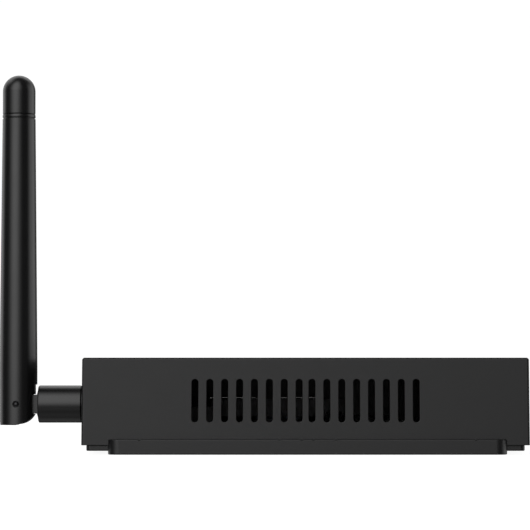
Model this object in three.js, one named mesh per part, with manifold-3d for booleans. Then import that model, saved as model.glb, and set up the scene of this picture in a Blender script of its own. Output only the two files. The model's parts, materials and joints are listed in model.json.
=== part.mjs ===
// A streaming media player: a flat plastic box on a low cradle, with a folding aerial at the rear.
// Millimetres, +Z up. The origin is the middle of the cradle's flat underside. The front with the
// display window faces -Y, the rear sockets and the aerial +Y, the louvred wall -X, the USB wall +X.
import * as THREE from 'three';
import { mergeVertices } from 'three/addons/utils/BufferGeometryUtils.js';
import Module from 'manifold-3d';

// ---------------------------------------------------------------- driving dimensions

const GAP = 0.3; // clearance between separate pieces
const EPS = 1; // how far a cutter runs past the face it opens

// The shell of the box
const HALF = 57.6; // half the width and half the depth of the housing at its lower edge
const DRAFT = 0.2; // how much each wall leans in between the lower edge and the top
const HOUSING_Z = 2.35; // lower edge of the housing
const TOP_Z = 24.85; // top of the box
const WALL = 2;
const CORNER_RADIUS = 0.6;
const TOP_CHAMFER = 0.5;
const BOSS = { x: 50, y: 43, radius: 3, pilot: 1.4, pilotTop: 12 };

// The row of upright slots in the -X wall
const SLOT = { width: 1.67, height: 11.05, z: 13.8, pitch: 3.83, innermost: 1.65, perSide: 8 };

// The plate that closes the box from below
const COVER = { bottom: 0.9, top: 2.3, half: 56.4, lipOuter: 55.3, lipInner: 54, lipTop: 4.3 };
const COVER_BOSS = { radius: 4.2, top: 3.8, bore: 1.5, headBore: 2.8, headTop: 2.6 };

// The low cradle that the box stands in
const CRADLE = { halfWidth: 60.1, yMin: -51.7, yMax: 50.7, top: 3.9, floor: 0.85, corner: 3, edge: 0.25 };
const CRADLE_FIT = 0.15; // clearance of each lip to the housing
const CLIP_NOTCH = { width: 0.7, depth: 0.35, offsets: [1.5, 7.3, 43] };
const VENT = { width: 2, length: 16, pitch: 6, perRow: 9, rowY: 25 };
const FOOT = { radius: 4.5, height: 0.8, edge: 0.15 };

// The main board and what it carries
const BOARD = { xMin: -46, xMax: 54, yMin: -42, yMax: 54.5, bottom: 5.4, top: 7 };
const ON_BOARD = BOARD.top + 0.1; // where a soldered part starts
const BOARD_SCREWS = [[-42, -38], [43, -36], [-42, 10], [44, 34]];
const MOUTH = HALF - 0.4; // where the socket mouths end, just inside the outer faces

// The aerial: its hinge pin is the origin of the arm, and the swivel axis runs through it along Y
const AERIAL_X = -43.5;
const PIN = new THREE.Vector3(AERIAL_X, 75.2, 12.85);
const BARREL = { radius: 4.87, start: 58.55, endToPin: 5.6, edge: 0.35 };
const STEM = { radius: 1.9, start: 48.5, bore: 0.8 };
const CLIP = { from: 49.45, thickness: 0.4, radius: 3.2, mouth: 2.2, groove: 0.7, grooveDepth: 0.5 };
const BUSHING = { neck: 3.4, flange: 4.7, flangeFrom: 57.85, flangeTo: 58.25, start: 50.4 };
const NUT = { from: 52.3, radius: 5.2 };
const TONGUE = { half: 1.45, height: 2.45, nose: 2.9, flareFrom: 5.05, flareHeight: 4.4, flareBend: 0.7 };
const SLEEVE = {
  axisY: -0.27, // the sleeve's own axis lies this far towards the box from the pin
  bottom: -5.45,
  baseRadius: 4.95,
  taperFrom: 9,
  topRadius: 4.3,
  top: 75.8,
  edge: 0.15,
  bore: 2.75,
  boreFrom: 6.2,
};
const CLEVIS = { slot: 1.75, depth: 3.3, relief: -4.75, flatY: -4.68, flatTop: 5.1, swing: 5.3 };
const NOTCH = { depth: 0.6, half: 2.55 };
const LEAD_HOLE = 0.9; // lets the feed up into the sleeve
const PIN_HOLE = 0.9;
const HINGE_PIN = { half: 4.45, dome: 0.25, flat: 0.06 };
const CAP = { bottom: 75.95, top: 86.15, radius: 4.27, plug: 2.45, plugFrom: 71.7, edge: 0.08, rings: 8 };
const GROOVE = { z: 74.85, width: 0.26, depth: 0.22 };
const RADIATOR = { plugTop: 9.2, wire: 0.7, tube: 1.4, tubeFrom: 24, tubeTo: 46, whip: 0.45, top: 70 };

// ---------------------------------------------------------------- solids

const wasm = await Module();
wasm.setup();

/** A closed three.js geometry as a solid that can be cut and joined. */
function solid(geometry) {
  const plain = geometry.clone();
  plain.deleteAttribute('normal');
  plain.deleteAttribute('uv');
  const merged = mergeVertices(plain, 1e-5);
  const vertProperties = merged.attributes.position.array;
  const triVerts = new Uint32Array(merged.index.array);
  return new wasm.Manifold(new wasm.Mesh({ numProp: 3, vertProperties, triVerts }));
}

/** The surface of a solid as a three.js geometry. */
function surface(body) {
  const mesh = body.getMesh();
  const geometry = new THREE.BufferGeometry();
  geometry.setAttribute('position', new THREE.BufferAttribute(mesh.vertProperties, 3));
  geometry.setIndex(new THREE.BufferAttribute(mesh.triVerts, 1));
  geometry.computeVertexNormals();
  return geometry;
}

/** A block between two opposite corners. */
function block([x0, y0, z0], [x1, y1, z1]) {
  const geometry = new THREE.BoxGeometry(x1 - x0, y1 - y0, z1 - z0);
  return solid(geometry.translate((x0 + x1) / 2, (y0 + y1) / 2, (z0 + z1) / 2));
}

// How an outline's right, up and depth directions lie for each direction it is extruded in.
const FRAMES = {
  x: [new THREE.Vector3(0, 1, 0), new THREE.Vector3(0, 0, 1), new THREE.Vector3(1, 0, 0)],
  y: [new THREE.Vector3(-1, 0, 0), new THREE.Vector3(0, 0, 1), new THREE.Vector3(0, 1, 0)],
  z: [new THREE.Vector3(1, 0, 0), new THREE.Vector3(0, 1, 0), new THREE.Vector3(0, 0, 1)],
};

/** A geometry made about the Z axis, turned to lie along an axis and moved along it and across it. */
function turned(geometry, axis, from, at = [0, 0]) {
  const [right, up, depth] = FRAMES[axis];
  const place = { x: [from, at[0], at[1]], y: [at[0], from, at[1]], z: [at[0], at[1], from] }[axis];
  const matrix = new THREE.Matrix4().makeBasis(right, up, depth).setPosition(...place);
  return solid(geometry.applyMatrix4(matrix));
}

/** A round rod along an axis, between two places on it. */
function rod(axis, radius, from, to, at, sides = 24) {
  const geometry = new THREE.CylinderGeometry(radius, radius, to - from, sides);
  geometry.rotateX(Math.PI / 2).translate(0, 0, (to - from) / 2);
  return turned(geometry, axis, from, at);
}

/** A body turned from a profile of [radius, place along the axis] points. */
function lathe(axis, profile, at, sides = 32) {
  const points = profile.map(([radius, z]) => new THREE.Vector2(radius, z));
  const geometry = new THREE.LatheGeometry(points, sides).rotateX(Math.PI / 2);
  return turned(geometry, axis, 0, at);
}

/** A flat outline carried along an axis. Each arc of the outline has twice as many sides as its detail. */
function prism(axis, shape, from, to, at, detail = 2) {
  const options = { depth: to - from, bevelEnabled: false, curveSegments: detail };
  return turned(new THREE.ExtrudeGeometry(shape, options), axis, from, at);
}

/** A rectangle with rounded corners, centred on its origin. */
function roundedRectangle(width, height, radius) {
  const x = width / 2 - radius;
  const y = height / 2 - radius;
  const shape = new THREE.Shape();
  shape.absarc(x, y, radius, 0, Math.PI / 2);
  shape.absarc(-x, y, radius, Math.PI / 2, Math.PI);
  shape.absarc(-x, -y, radius, Math.PI, Math.PI * 1.5);
  shape.absarc(x, -y, radius, Math.PI * 1.5, Math.PI * 2);
  return shape;
}

/** A rounded box standing on the XY plane, with both its end faces chamfered. */
function chamferedBox(width, depth, radius, z0, z1, chamfer, detail) {
  const geometry = new THREE.ExtrudeGeometry(roundedRectangle(width, depth, radius), {
    depth: z1 - z0 - 2 * chamfer,
    bevelThickness: chamfer,
    bevelSize: chamfer,
    bevelOffset: -chamfer,
    bevelSegments: 1,
    curveSegments: detail,
  });
  return geometry.translate(0, 0, z0 + chamfer);
}

/** Leans every wall of the housing in towards the top. */
function drafted(geometry) {
  const position = geometry.attributes.position;
  for (let i = 0; i < position.count; i += 1) {
    const rise = (position.getZ(i) - HOUSING_Z) / (TOP_Z - HOUSING_Z);
    const scale = 1 - (DRAFT / HALF) * rise;
    position.setX(i, position.getX(i) * scale);
    position.setY(i, position.getY(i) * scale);
  }
  return geometry;
}

function joined(bodies) {
  return bodies.reduce((sum, body) => sum.add(body));
}

function without(body, cutters) {
  return cutters.reduce((rest, cutter) => rest.subtract(cutter), body);
}

/** The four corners of a rectangle about the Z axis, each with a name. */
function corners(x, y) {
  return [
    { name: 'front_left', at: [-x, -y] },
    { name: 'front_right', at: [x, -y] },
    { name: 'rear_left', at: [-x, y] },
    { name: 'rear_right', at: [x, y] },
  ];
}

const BOSSES = corners(BOSS.x, BOSS.y);

// ---------------------------------------------------------------- finishes and the scene graph

const plastic = (color, roughness = 0.45) => ({ color, roughness, metalness: 0 });
const metal = (color, roughness = 0.35) => ({ color, roughness, metalness: 1 });

const HOUSING_BLACK = plastic(0x151515, 0.5);
const AERIAL_BLACK = plastic(0x121212, 0.32);
const RUBBER = plastic(0x0c0c0c, 0.9);
const WINDOW = plastic(0x050505, 0.08);
const BOARD_GREEN = plastic(0x0d3b24, 0.55);
const CHIP = plastic(0x101112, 0.6);
const CONTACT_PLASTIC = plastic(0x0a0a0b, 0.55);
const STEEL = metal(0xb9bcc0, 0.3);
const SHIELD = metal(0xc4c6c8, 0.4);
const BLACK_ANODISED = metal(0x2c2d30, 0.5);
const BLACK_STEEL = metal(0x4a4a4c, 0.4);
const BRASS = metal(0xb58a3c, 0.35);
const LENS = plastic(0x9fb4d8, 0.2);
const RIBBON = plastic(0xd8d4c8, 0.6);
const PAD_GREY = plastic(0x7f8a94, 0.9);
const FERRITE = plastic(0x2a2a2c, 0.7);
const RADIO_BLUE = plastic(0x0b2d52, 0.5);
const WHITE_PLASTIC = plastic(0xe4e0d6, 0.5);

const player = new THREE.Group();
const box = new THREE.Group();
const swivel = new THREE.Group();
const arm = new THREE.Group();
swivel.position.copy(PIN);
player.add(box, swivel);
swivel.add(arm);

/** Adds a solid to a group as a named mesh with a material of its own. */
function add(group, name, body, finish) {
  const mesh = new THREE.Mesh(surface(body), new THREE.MeshStandardMaterial(finish));
  mesh.name = name;
  group.add(mesh);
}

// ---------------------------------------------------------------- the shell

/** The places of a row's members, spread evenly about a middle. */
function spread(count, pitch, middle = 0) {
  return Array.from({ length: count }, (_, i) => middle + (i - (count - 1) / 2) * pitch);
}

/** An upright or lying slot with round ends. */
function obround(width, height) {
  return roundedRectangle(width, height, Math.min(width, height) / 2);
}

// The sockets on the rear wall: the middle of each along X, and the hole that the wall has for it
const REAR = { ethernet: -21, hdmi: 0, av: 17, reset: 27, dc: 38 };
const ETHERNET = {
  width: 16,
  depth: 21,
  height: 13.3,
  plug: { width: 11.9, depth: 13, low: 3, high: 9.9 },
  latch: { width: 6.2, high: 12.1 },
  contact: { count: 8, pitch: 1.02, width: 0.4 },
};
const HDMI = { width: 15, depth: 11.5, height: 6, slope: 1.7, wall: 0.5 };
const HDMI_TONGUE = { width: 11.2, low: 2.4, high: 3.9 };
const AV = { width: 6.6, depth: 12, height: 5.6, mouth: 2.9, bore: 1.8 };
const DC = { width: 9, depth: 13, height: 11, z: 13.2, hole: 3.15, wallHole: 4.05, pin: 1 };
// The reset switch: a body with a plunger that a pin reaches through a small hole in the wall
const RESET = {
  width: 6,
  depth: 4,
  height: 4.6,
  z: 9.4,
  front: 53.2,
  hole: 1.1,
  bore: 2.2,
  plunger: 0.9,
  foot: 1.6,
  proud: 1,
  edge: 0.2,
};
// The sockets on the +X wall: the middle of each along Y
const SIDE = { usbRear: 20, usbFront: 0, card: -20 };
const USB = { width: 14.3, depth: 14, height: 7, wall: 0.9, tongue: { width: 11.1, low: 4, high: 5.8 } };
const CARD = { width: 14.5, depth: 15, height: 1.9, inset: 1.4, slot: { width: 11.2, low: 0.5, high: 1.5 } };
const FRONT = { width: 74, height: 13, z: 13.8, thickness: 1.1, ledge: 2.5, radius: 2 };

function louvres() {
  const innermost = SLOT.innermost + ((SLOT.perSide - 1) / 2) * SLOT.pitch;
  const places = [-innermost, innermost].flatMap((middle) => spread(SLOT.perSide, SLOT.pitch, middle));
  const shape = obround(SLOT.width, SLOT.height);
  return places.map((y) => prism('x', shape, -HALF - EPS, -HALF + WALL + EPS, [y, SLOT.z]));
}

/** A block standing on the board, given by its middle and width, its ends along Y, and its height span. */
function rearBlock(x, width, [from, to], [low, high]) {
  return block([x - width / 2, from, ON_BOARD + low], [x + width / 2, to, ON_BOARD + high]);
}

/** The same for the sockets that face +X. */
function sideBlock(y, width, [from, to], [low, high]) {
  return block([from, y - width / 2, ON_BOARD + low], [to, y + width / 2, ON_BOARD + high]);
}

function wallHoles() {
  const inner = HALF - WALL - EPS;
  const outer = HALF + EPS;
  const rear = (x, width, height) => rearBlock(x, width + 2 * GAP, [inner, outer], [-GAP, height + GAP]);
  const side = (y, width, height) => sideBlock(y, width + 2 * GAP, [inner, outer], [-GAP, height + GAP]);
  return [
    rear(REAR.ethernet, ETHERNET.width, ETHERNET.height),
    rear(REAR.hdmi, HDMI.width, HDMI.height),
    rod('y', AV.mouth + GAP, inner, outer, [REAR.av, ON_BOARD + AV.height / 2]),
    rod('y', RESET.hole, inner, outer, [REAR.reset, RESET.z], 16),
    rod('y', DC.wallHole, inner, outer, [REAR.dc, DC.z], 24),
    rod('y', BUSHING.neck + GAP, inner, outer, [AERIAL_X, PIN.z], 24),
    side(SIDE.usbRear, USB.width, USB.height),
    side(SIDE.usbFront, USB.width, USB.height),
    side(SIDE.card, CARD.width, CARD.height),
  ];
}

function frontOpening() {
  const face = -HALF + DRAFT;
  const inlay = roundedRectangle(FRONT.width + GAP, FRONT.height + GAP, FRONT.radius);
  const aperture = roundedRectangle(FRONT.width - 2 * FRONT.ledge, FRONT.height - 2 * FRONT.ledge, 0.8);
  return [
    prism('y', inlay, -HALF - EPS, face + FRONT.thickness + 0.15, [0, FRONT.z]),
    prism('y', aperture, -HALF - EPS, -HALF + WALL + EPS, [0, FRONT.z]),
  ];
}

function upperHousing() {
  const outer = chamferedBox(2 * HALF, 2 * HALF, CORNER_RADIUS, HOUSING_Z - EPS, TOP_Z, TOP_CHAMFER, 2);
  const innerHalf = HALF - WALL;
  const inner = chamferedBox(2 * innerHalf, 2 * innerHalf, 0.5, HOUSING_Z - 2 * EPS, TOP_Z - WALL, 0.3, 1);
  const below = block([-HALF - EPS, -HALF - EPS, HOUSING_Z - 3 * EPS], [HALF + EPS, HALF + EPS, HOUSING_Z]);
  const shell = without(solid(drafted(outer)), [solid(drafted(inner)), below]);
  const bossStart = COVER_BOSS.top + GAP;
  const bosses = BOSSES.map(({ at }) => rod('z', BOSS.radius, bossStart, TOP_Z - WALL / 2, at, 16));
  const pilots = BOSSES.map(({ at }) => rod('z', BOSS.pilot, 0, BOSS.pilotTop, at, 12));
  return without(joined([shell, ...bosses]), [...pilots, ...louvres(), ...wallHoles(), ...frontOpening()]);
}

function vents(from, to) {
  const shape = obround(VENT.width, VENT.length);
  const columns = spread(VENT.perRow, VENT.pitch);
  return [-VENT.rowY, VENT.rowY].flatMap((y) => columns.map((x) => prism('z', shape, from, to, [x, y], 1)));
}

function bottomCover() {
  const plate = solid(chamferedBox(2 * COVER.half, 2 * COVER.half, 1.2, COVER.bottom, COVER.top, 0.2, 2));
  const lipOutline = roundedRectangle(2 * COVER.lipOuter, 2 * COVER.lipOuter, 0.6);
  const room = roundedRectangle(2 * COVER.lipInner, 2 * COVER.lipInner, 0.4);
  const lip = prism('z', lipOutline, COVER.bottom + EPS, COVER.lipTop)
    .subtract(prism('z', room, COVER.bottom, COVER.lipTop + EPS));
  const inPlate = COVER.bottom + EPS;
  const bosses = BOSSES.map(({ at }) => rod('z', COVER_BOSS.radius, inPlate, COVER_BOSS.top, at, 16));
  const headBores = BOSSES.map(({ at }) => rod('z', COVER_BOSS.headBore, 0, COVER_BOSS.headTop, at, 16));
  const bores = BOSSES.map(({ at }) => rod('z', COVER_BOSS.bore, 0, COVER_BOSS.top + EPS, at, 12));
  const posts = BOARD_SCREWS.map((at) => rod('z', 2.5, inPlate, BOARD.bottom - GAP, at, 12));
  const pilots = BOARD_SCREWS.map((at) => rod('z', 1.1, 3, BOARD.bottom + EPS, at, 12));
  const body = joined([plate, lip, ...bosses, ...posts]);
  return without(body, [...headBores, ...bores, ...pilots, ...vents(0, COVER.top + EPS)]);
}

function baseCradle() {
  const { halfWidth, yMin, yMax, top, floor, corner, edge } = CRADLE;
  const outer = chamferedBox(2 * halfWidth, yMax - yMin, corner, 0, top, edge, 3);
  const inner = HALF + CRADLE_FIT;
  const room = block([-inner, yMin - EPS, floor], [inner, yMax + EPS, top + EPS]);
  const footHoles = BOSSES.map(({ at }) => rod('z', FOOT.radius + GAP, -EPS, floor + EPS, at, 20));
  const middle = (yMin + yMax) / 2;
  const notches = CLIP_NOTCH.offsets.flatMap((offset) => [middle - offset, middle + offset]).map((y) =>
    block(
      [-halfWidth - EPS, y - CLIP_NOTCH.width / 2, top - CLIP_NOTCH.depth],
      [halfWidth + EPS, y + CLIP_NOTCH.width / 2, top + EPS],
    ));
  const body = solid(outer.translate(0, middle, 0));
  return without(body, [room, ...footHoles, ...notches, ...vents(-EPS, floor + EPS)]);
}

/** A rubber disc that fills the cradle's hole and hides the screw above it. */
function foot(at) {
  const { radius, height, edge } = FOOT;
  return lathe('z', [[0, 0], [radius - edge, 0], [radius, edge], [radius, height], [0, height]], at, 20);
}

/** A screw with its head down or up, and a cross cut into the head. */
function screw(at, { headRadius, headHeight, headFace, shankRadius, tip }) {
  const up = Math.sign(tip - headFace);
  const neck = headFace + up * headHeight;
  const rim = headFace + up * 0.4;
  const head = [[0, headFace], [headRadius - 0.3, headFace], [headRadius, rim], [headRadius, neck]];
  const profile = [...head, [shankRadius, neck], [shankRadius, tip - up * 0.5], [0, tip]];
  const body = lathe('z', up > 0 ? profile : profile.reverse(), at, 14);
  const depth = 0.6;
  const reach = headRadius * 0.6;
  const cut = (halfX, halfY) =>
    block([at[0] - halfX, at[1] - halfY, headFace - depth], [at[0] + halfX, at[1] + halfY, headFace + depth]);
  return without(body, [cut(reach, 0.25), cut(0.25, reach)]);
}

const CASE_SCREW = { headRadius: 2.4, headHeight: 1, headFace: 1.25, shankRadius: 1.1, tip: 11 };
const BOARD_SCREW = {
  headRadius: 2.1, headHeight: 1.1, headFace: BOARD.top + GAP + 1.1, shankRadius: 0.8, tip: 3.4,
};

add(box, 'upper_housing', upperHousing(), HOUSING_BLACK);
add(box, 'bottom_cover', bottomCover(), HOUSING_BLACK);
add(box, 'base_cradle', baseCradle(), HOUSING_BLACK);
for (const { name, at } of BOSSES) {
  add(box, `foot_${name}`, foot(at), RUBBER);
  add(box, `case_screw_${name}`, screw(at, CASE_SCREW), STEEL);
}

// ---------------------------------------------------------------- the front display

function frontWindow() {
  const face = -HALF + DRAFT;
  const { width, height, radius, thickness, z } = FRONT;
  const outline = roundedRectangle(width - GAP, height - GAP, radius - GAP / 2);
  return prism('y', outline, face, face + thickness, [0, z]);
}

const DISPLAY = { boardFront: -50.6, thickness: 1.2, width: 66, low: 5, high: 6, front: -55.2, lift: 0.1 };
const SCREEN = { width: 32, height: 9.8 };
const RECEIVER = { x: 26, width: 5.6, height: 6.8, depth: 3, dome: 2.2 };
const LED = { x: -26, radius: 1.5, tip: 1, shoulder: 0.3, cone: 1.4 };
const CABLE = { width: 10, thickness: 0.3, from: 11, reach: 6, bend: 4, lift: 0.1 };

/** A flat strip bent from the back of the display board down to the top of the main board. */
function displayCable() {
  const { width, thickness, from, reach, bend, lift } = CABLE;
  const start = DISPLAY.boardFront + DISPLAY.thickness + 2 * lift;
  const end = BOARD.yMin + reach;
  const low = ON_BOARD + lift;
  const high = low + thickness;
  const path = new THREE.Shape();
  path.moveTo(start, from);
  path.bezierCurveTo(start + bend, from, end - 2 * bend, low, end - bend, low);
  path.lineTo(end, low);
  path.lineTo(end, high);
  path.lineTo(end - bend, high);
  path.bezierCurveTo(end - 2 * bend, high, start + bend + thickness, from + thickness, start, from + thickness);
  return prism('x', path, -width / 2, width / 2, [0, 0], 8);
}

/** The infrared receiver: a block with a round lens in front of it. */
function receiver(facing) {
  const { x, width, height, depth, dome } = RECEIVER;
  const lens = rod('y', dome, DISPLAY.front, facing - 2, [x, FRONT.z], 20);
  const low = [x - width / 2, facing - depth, FRONT.z - height / 2];
  return block(low, [x + width / 2, facing, FRONT.z + height / 2]).add(lens);
}

function statusLed(facing) {
  const { x, radius, tip, shoulder, cone } = LED;
  const { front } = DISPLAY;
  const profile = [[0, front], [tip, front + shoulder], [radius, front + cone], [radius, facing], [0, facing]];
  return lathe('y', profile, [x, FRONT.z], 20);
}

function displayParts() {
  const { boardFront, thickness, width, low, high, front, lift } = DISPLAY;
  const { z } = FRONT;
  const facing = boardFront - lift;
  const board = block([-width / 2, boardFront, z - low], [width / 2, boardFront + thickness, z + high]);
  const screenLow = [-SCREEN.width / 2, front, z - SCREEN.height / 2];
  add(box, 'front_window', frontWindow(), WINDOW);
  add(box, 'display_board', board, BOARD_GREEN);
  add(box, 'display_module', block(screenLow, [SCREEN.width / 2, facing, z + SCREEN.height / 2]), CHIP);
  add(box, 'ir_receiver', receiver(facing), WINDOW);
  add(box, 'status_led', statusLed(facing), LENS);
  add(box, 'display_cable', displayCable(), RIBBON);
}
displayParts();

// ---------------------------------------------------------------- the main board

function mainBoard() {
  const { xMin, xMax, yMin, yMax, bottom, top } = BOARD;
  const around = BOSSES.map(({ at }) => rod('z', BOSS.radius + 1, bottom - EPS, top + EPS, at, 16));
  const holes = BOARD_SCREWS.map((at) => rod('z', 1.2, bottom - EPS, top + EPS, at, 12));
  return without(block([xMin, yMin, bottom], [xMax, yMax, top]), [...around, ...holes]);
}

/** A flat part soldered to the board, given by its middle and size. */
function onBoard([x, y], [width, depth, height], start = ON_BOARD) {
  return block([x - width / 2, y - depth / 2, start], [x + width / 2, y + depth / 2, start + height]);
}

const CHIP_HEIGHT = 1.1;
const PAD_HEIGHT = 0.9;
const HEATSINK = { size: 34, base: 1.6, fins: 9, pitch: 4, fin: 1.1, height: 4.6, lift: 0.2 };
const CAPACITOR = { radius: 3.15, height: 7.6, plinth: 6.6, plinthHeight: 0.8, ring: 1.8, edge: 0.25 };
const COIL = { size: 7, height: 3.6, corner: 1.2, edge: 0.3 };

function heatsink([x, y]) {
  const { size, base, fins, pitch, fin, height, lift } = HEATSINK;
  const start = ON_BOARD + CHIP_HEIGHT + PAD_HEIGHT + lift;
  const plate = onBoard([x, y], [size, size, base], start);
  const blades = spread(fins, pitch, x).map((finX) => onBoard([finX, y], [fin, size, height], start));
  return joined([plate, ...blades]);
}

/** A can capacitor with a rolled ring near its foot, standing on its square plinth. */
function capacitor(at) {
  const { radius, height, plinth, plinthHeight, ring, edge } = CAPACITOR;
  const start = plinthHeight / 2;
  const inner = radius - edge;
  const foot = [[0, start], [radius, start], [radius, ring - edge], [inner, ring], [radius, ring + edge]];
  const profile = [...foot, [radius, height - edge], [inner, height], [0, height]];
  const can = lathe('z', profile.map(([r, z]) => [r, ON_BOARD + z]), at, 24);
  return can.add(onBoard(at, [plinth, plinth, plinthHeight]));
}

/** A shielded coil: a square block with clipped corners. */
function powerCoil([x, y]) {
  const { size, height, corner, edge } = COIL;
  return solid(chamferedBox(size, size, corner, ON_BOARD, ON_BOARD + height, edge, 1).translate(x, y, 0));
}

const PROCESSOR = [6, 6];

add(box, 'main_board', mainBoard(), BOARD_GREEN);
for (const [index, at] of BOARD_SCREWS.entries()) {
  add(box, `board_screw_${index + 1}`, screw(at, BOARD_SCREW), STEEL);
}
add(box, 'processor', onBoard(PROCESSOR, [15, 15, CHIP_HEIGHT]), CHIP);
add(box, 'thermal_pad', onBoard(PROCESSOR, [14, 14, PAD_HEIGHT], ON_BOARD + CHIP_HEIGHT + 0.1), PAD_GREY);
add(box, 'heatsink', heatsink(PROCESSOR), BLACK_ANODISED);
add(box, 'memory_chip_left', onBoard([-19, 6], [9, 13, CHIP_HEIGHT]), CHIP);
add(box, 'memory_chip_right', onBoard([31, 6], [9, 13, CHIP_HEIGHT]), CHIP);
add(box, 'storage_chip', onBoard([4, -22], [13, 11.5, CHIP_HEIGHT]), CHIP);
add(box, 'network_transformer', onBoard([REAR.ethernet, 28], [15.5, 9, 5]), CHIP);
const crystal = chamferedBox(10.5, 4, 1.9, ON_BOARD, ON_BOARD + 3.5, 0.2, 2).translate(-18, -8, 0);
add(box, 'crystal', solid(crystal), SHIELD);
add(box, 'capacitor_left', capacitor([27, 34]), CHIP);
add(box, 'capacitor_right', capacitor([36, 34]), CHIP);
add(box, 'power_coil_left', powerCoil([28, 25.5]), FERRITE);
add(box, 'power_coil_right', powerCoil([37, 25.5]), FERRITE);

// The radio module: a small carrier board under a shield can
const RADIO = { x: -36, y: 38, width: 13, depth: 15, thickness: 0.7 };
const RADIO_TOP = ON_BOARD + RADIO.thickness;
const RADIO_CAN = { width: 11.4, depth: 10.4, corner: 0.8, height: 1.7, edge: 0.2, forward: 1.8, lift: 0.05 };
const LEAD_PLUG = { x: RADIO.x + 4, y: RADIO.y + 5.4, z: RADIO_TOP + 0.1, radius: 1.5, height: 1.5, edge: 0.2 };

function radioCan() {
  const { width, depth, corner, height, edge, forward, lift } = RADIO_CAN;
  const start = RADIO_TOP + lift;
  const can = chamferedBox(width, depth, corner, start, start + height, edge, 1);
  return solid(can.translate(RADIO.x, RADIO.y - forward, 0));
}

add(box, 'wifi_board', onBoard([RADIO.x, RADIO.y], [RADIO.width, RADIO.depth, RADIO.thickness]), RADIO_BLUE);
add(box, 'wifi_shield', radioCan(), SHIELD);

// ---------------------------------------------------------------- sockets

/** A modular network socket: a can with a stepped mouth for the plug and its latch. */
function ethernetSocket() {
  const { width, depth, height, plug, latch, contact } = ETHERNET;
  const x = REAR.ethernet;
  const back = MOUTH - plug.depth;
  const can = rearBlock(x, width, [MOUTH - depth, MOUTH], [0, height]);
  const mouth = rearBlock(x, plug.width, [back, MOUTH + EPS], [plug.low, plug.high]);
  const notch = rearBlock(x, latch.width, [back, MOUTH + EPS], [plug.high - EPS, latch.high]);
  const contacts = spread(contact.count, contact.pitch, x).map((contactX) =>
    rearBlock(contactX, contact.width, [back + 1, back + 9], [plug.low - 0.1, plug.low + 0.5]));
  return joined([without(can, [mouth, notch]), ...contacts]);
}

/** The D-shaped mouth of a video socket, narrower below. */
function hdmiOutline(width, height, slope) {
  const shape = new THREE.Shape();
  const x = width / 2;
  shape.moveTo(-x, height);
  shape.lineTo(-x, slope);
  shape.lineTo(-x + slope, 0);
  shape.lineTo(x - slope, 0);
  shape.lineTo(x, slope);
  shape.lineTo(x, height);
  return shape;
}

function hdmiSocket() {
  const { width, depth, height, slope, wall } = HDMI;
  const at = [REAR.hdmi, ON_BOARD];
  const back = MOUTH - depth;
  const shell = prism('y', hdmiOutline(width, height, slope), back, MOUTH, at);
  const mouth = hdmiOutline(width - 2 * wall, height - 2 * wall, slope - 0.2);
  const cavity = prism('y', mouth, back + 3, MOUTH + EPS, [REAR.hdmi, ON_BOARD + wall]);
  const { width: across, low, high } = HDMI_TONGUE;
  const blade = rearBlock(REAR.hdmi, across, [back + 1, MOUTH - 1.6], [low, high]);
  return joined([shell.subtract(cavity), blade]);
}

function usbSocket(y) {
  const { width, depth, height, wall, tongue } = USB;
  const back = MOUTH - depth;
  const shell = sideBlock(y, width, [back, MOUTH], [0, height]);
  const cavity = sideBlock(y, width - 2 * wall, [back + 2, MOUTH + EPS], [wall, height - wall]);
  const blade = sideBlock(y, tongue.width, [back + 1, MOUTH - 1.2], [tongue.low, tongue.high]);
  return joined([shell.subtract(cavity), blade]);
}

function cardSocket() {
  const { width, depth, height, inset, slot } = CARD;
  const mouth = MOUTH - inset;
  const can = sideBlock(SIDE.card, width, [mouth - depth, mouth], [0, height]);
  const room = sideBlock(SIDE.card, slot.width, [mouth - depth + 2, mouth + EPS], [slot.low, slot.high]);
  return can.subtract(room);
}

function avJack() {
  const { width, depth, height, mouth, bore } = AV;
  const at = [REAR.av, ON_BOARD + height / 2];
  const inner = HALF - WALL - GAP;
  const body = rearBlock(REAR.av, width, [MOUTH - depth, inner], [0, height]);
  const collar = rod('y', mouth, inner - EPS, MOUTH, at, 28);
  return body.add(collar).subtract(rod('y', bore, MOUTH - depth + 1.5, MOUTH + EPS, at, 20));
}

function dcJack() {
  const { width, depth, height, z, hole, pin } = DC;
  const front = HALF - WALL - GAP;
  const back = front - depth;
  const body = rearBlock(REAR.dc, width, [back, front], [0, height]);
  const bore = rod('y', hole, back + 2.5, front + EPS, [REAR.dc, z], 28);
  return body.subtract(bore).add(rod('y', pin, back + 1, front - 0.8, [REAR.dc, z], 16));
}

/** The reset switch's body, with the bore that its plunger travels in. */
function resetSwitch() {
  const { width, depth, height, z, front, plunger, bore } = RESET;
  const body = rearBlock(REAR.reset, width, [front - depth, front], [0, height]);
  return body.subtract(rod('y', plunger + GAP, front - bore, front + EPS, [REAR.reset, z], 16));
}

/** The plunger, which a pin pushed through the wall reaches. */
function resetPlunger() {
  const { z, front, plunger, proud, foot, edge } = RESET;
  const tip = front + proud;
  const start = front - foot;
  const profile = [[0, start], [plunger, start], [plunger, tip - edge], [plunger - edge, tip], [0, tip]];
  return lathe('y', profile, [REAR.reset, z], 16);
}

add(box, 'ethernet_socket', ethernetSocket(), SHIELD);
add(box, 'hdmi_socket', hdmiSocket(), SHIELD);
add(box, 'usb_socket_rear', usbSocket(SIDE.usbRear), SHIELD);
add(box, 'usb_socket_front', usbSocket(SIDE.usbFront), SHIELD);
add(box, 'card_socket', cardSocket(), SHIELD);
add(box, 'av_jack', avJack(), CONTACT_PLASTIC);
add(box, 'dc_jack', dcJack(), CONTACT_PLASTIC);
add(box, 'reset_switch', resetSwitch(), CONTACT_PLASTIC);
add(box, 'reset_plunger', resetPlunger(), WHITE_PLASTIC);

// ---------------------------------------------------------------- the aerial's fixed end

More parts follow.
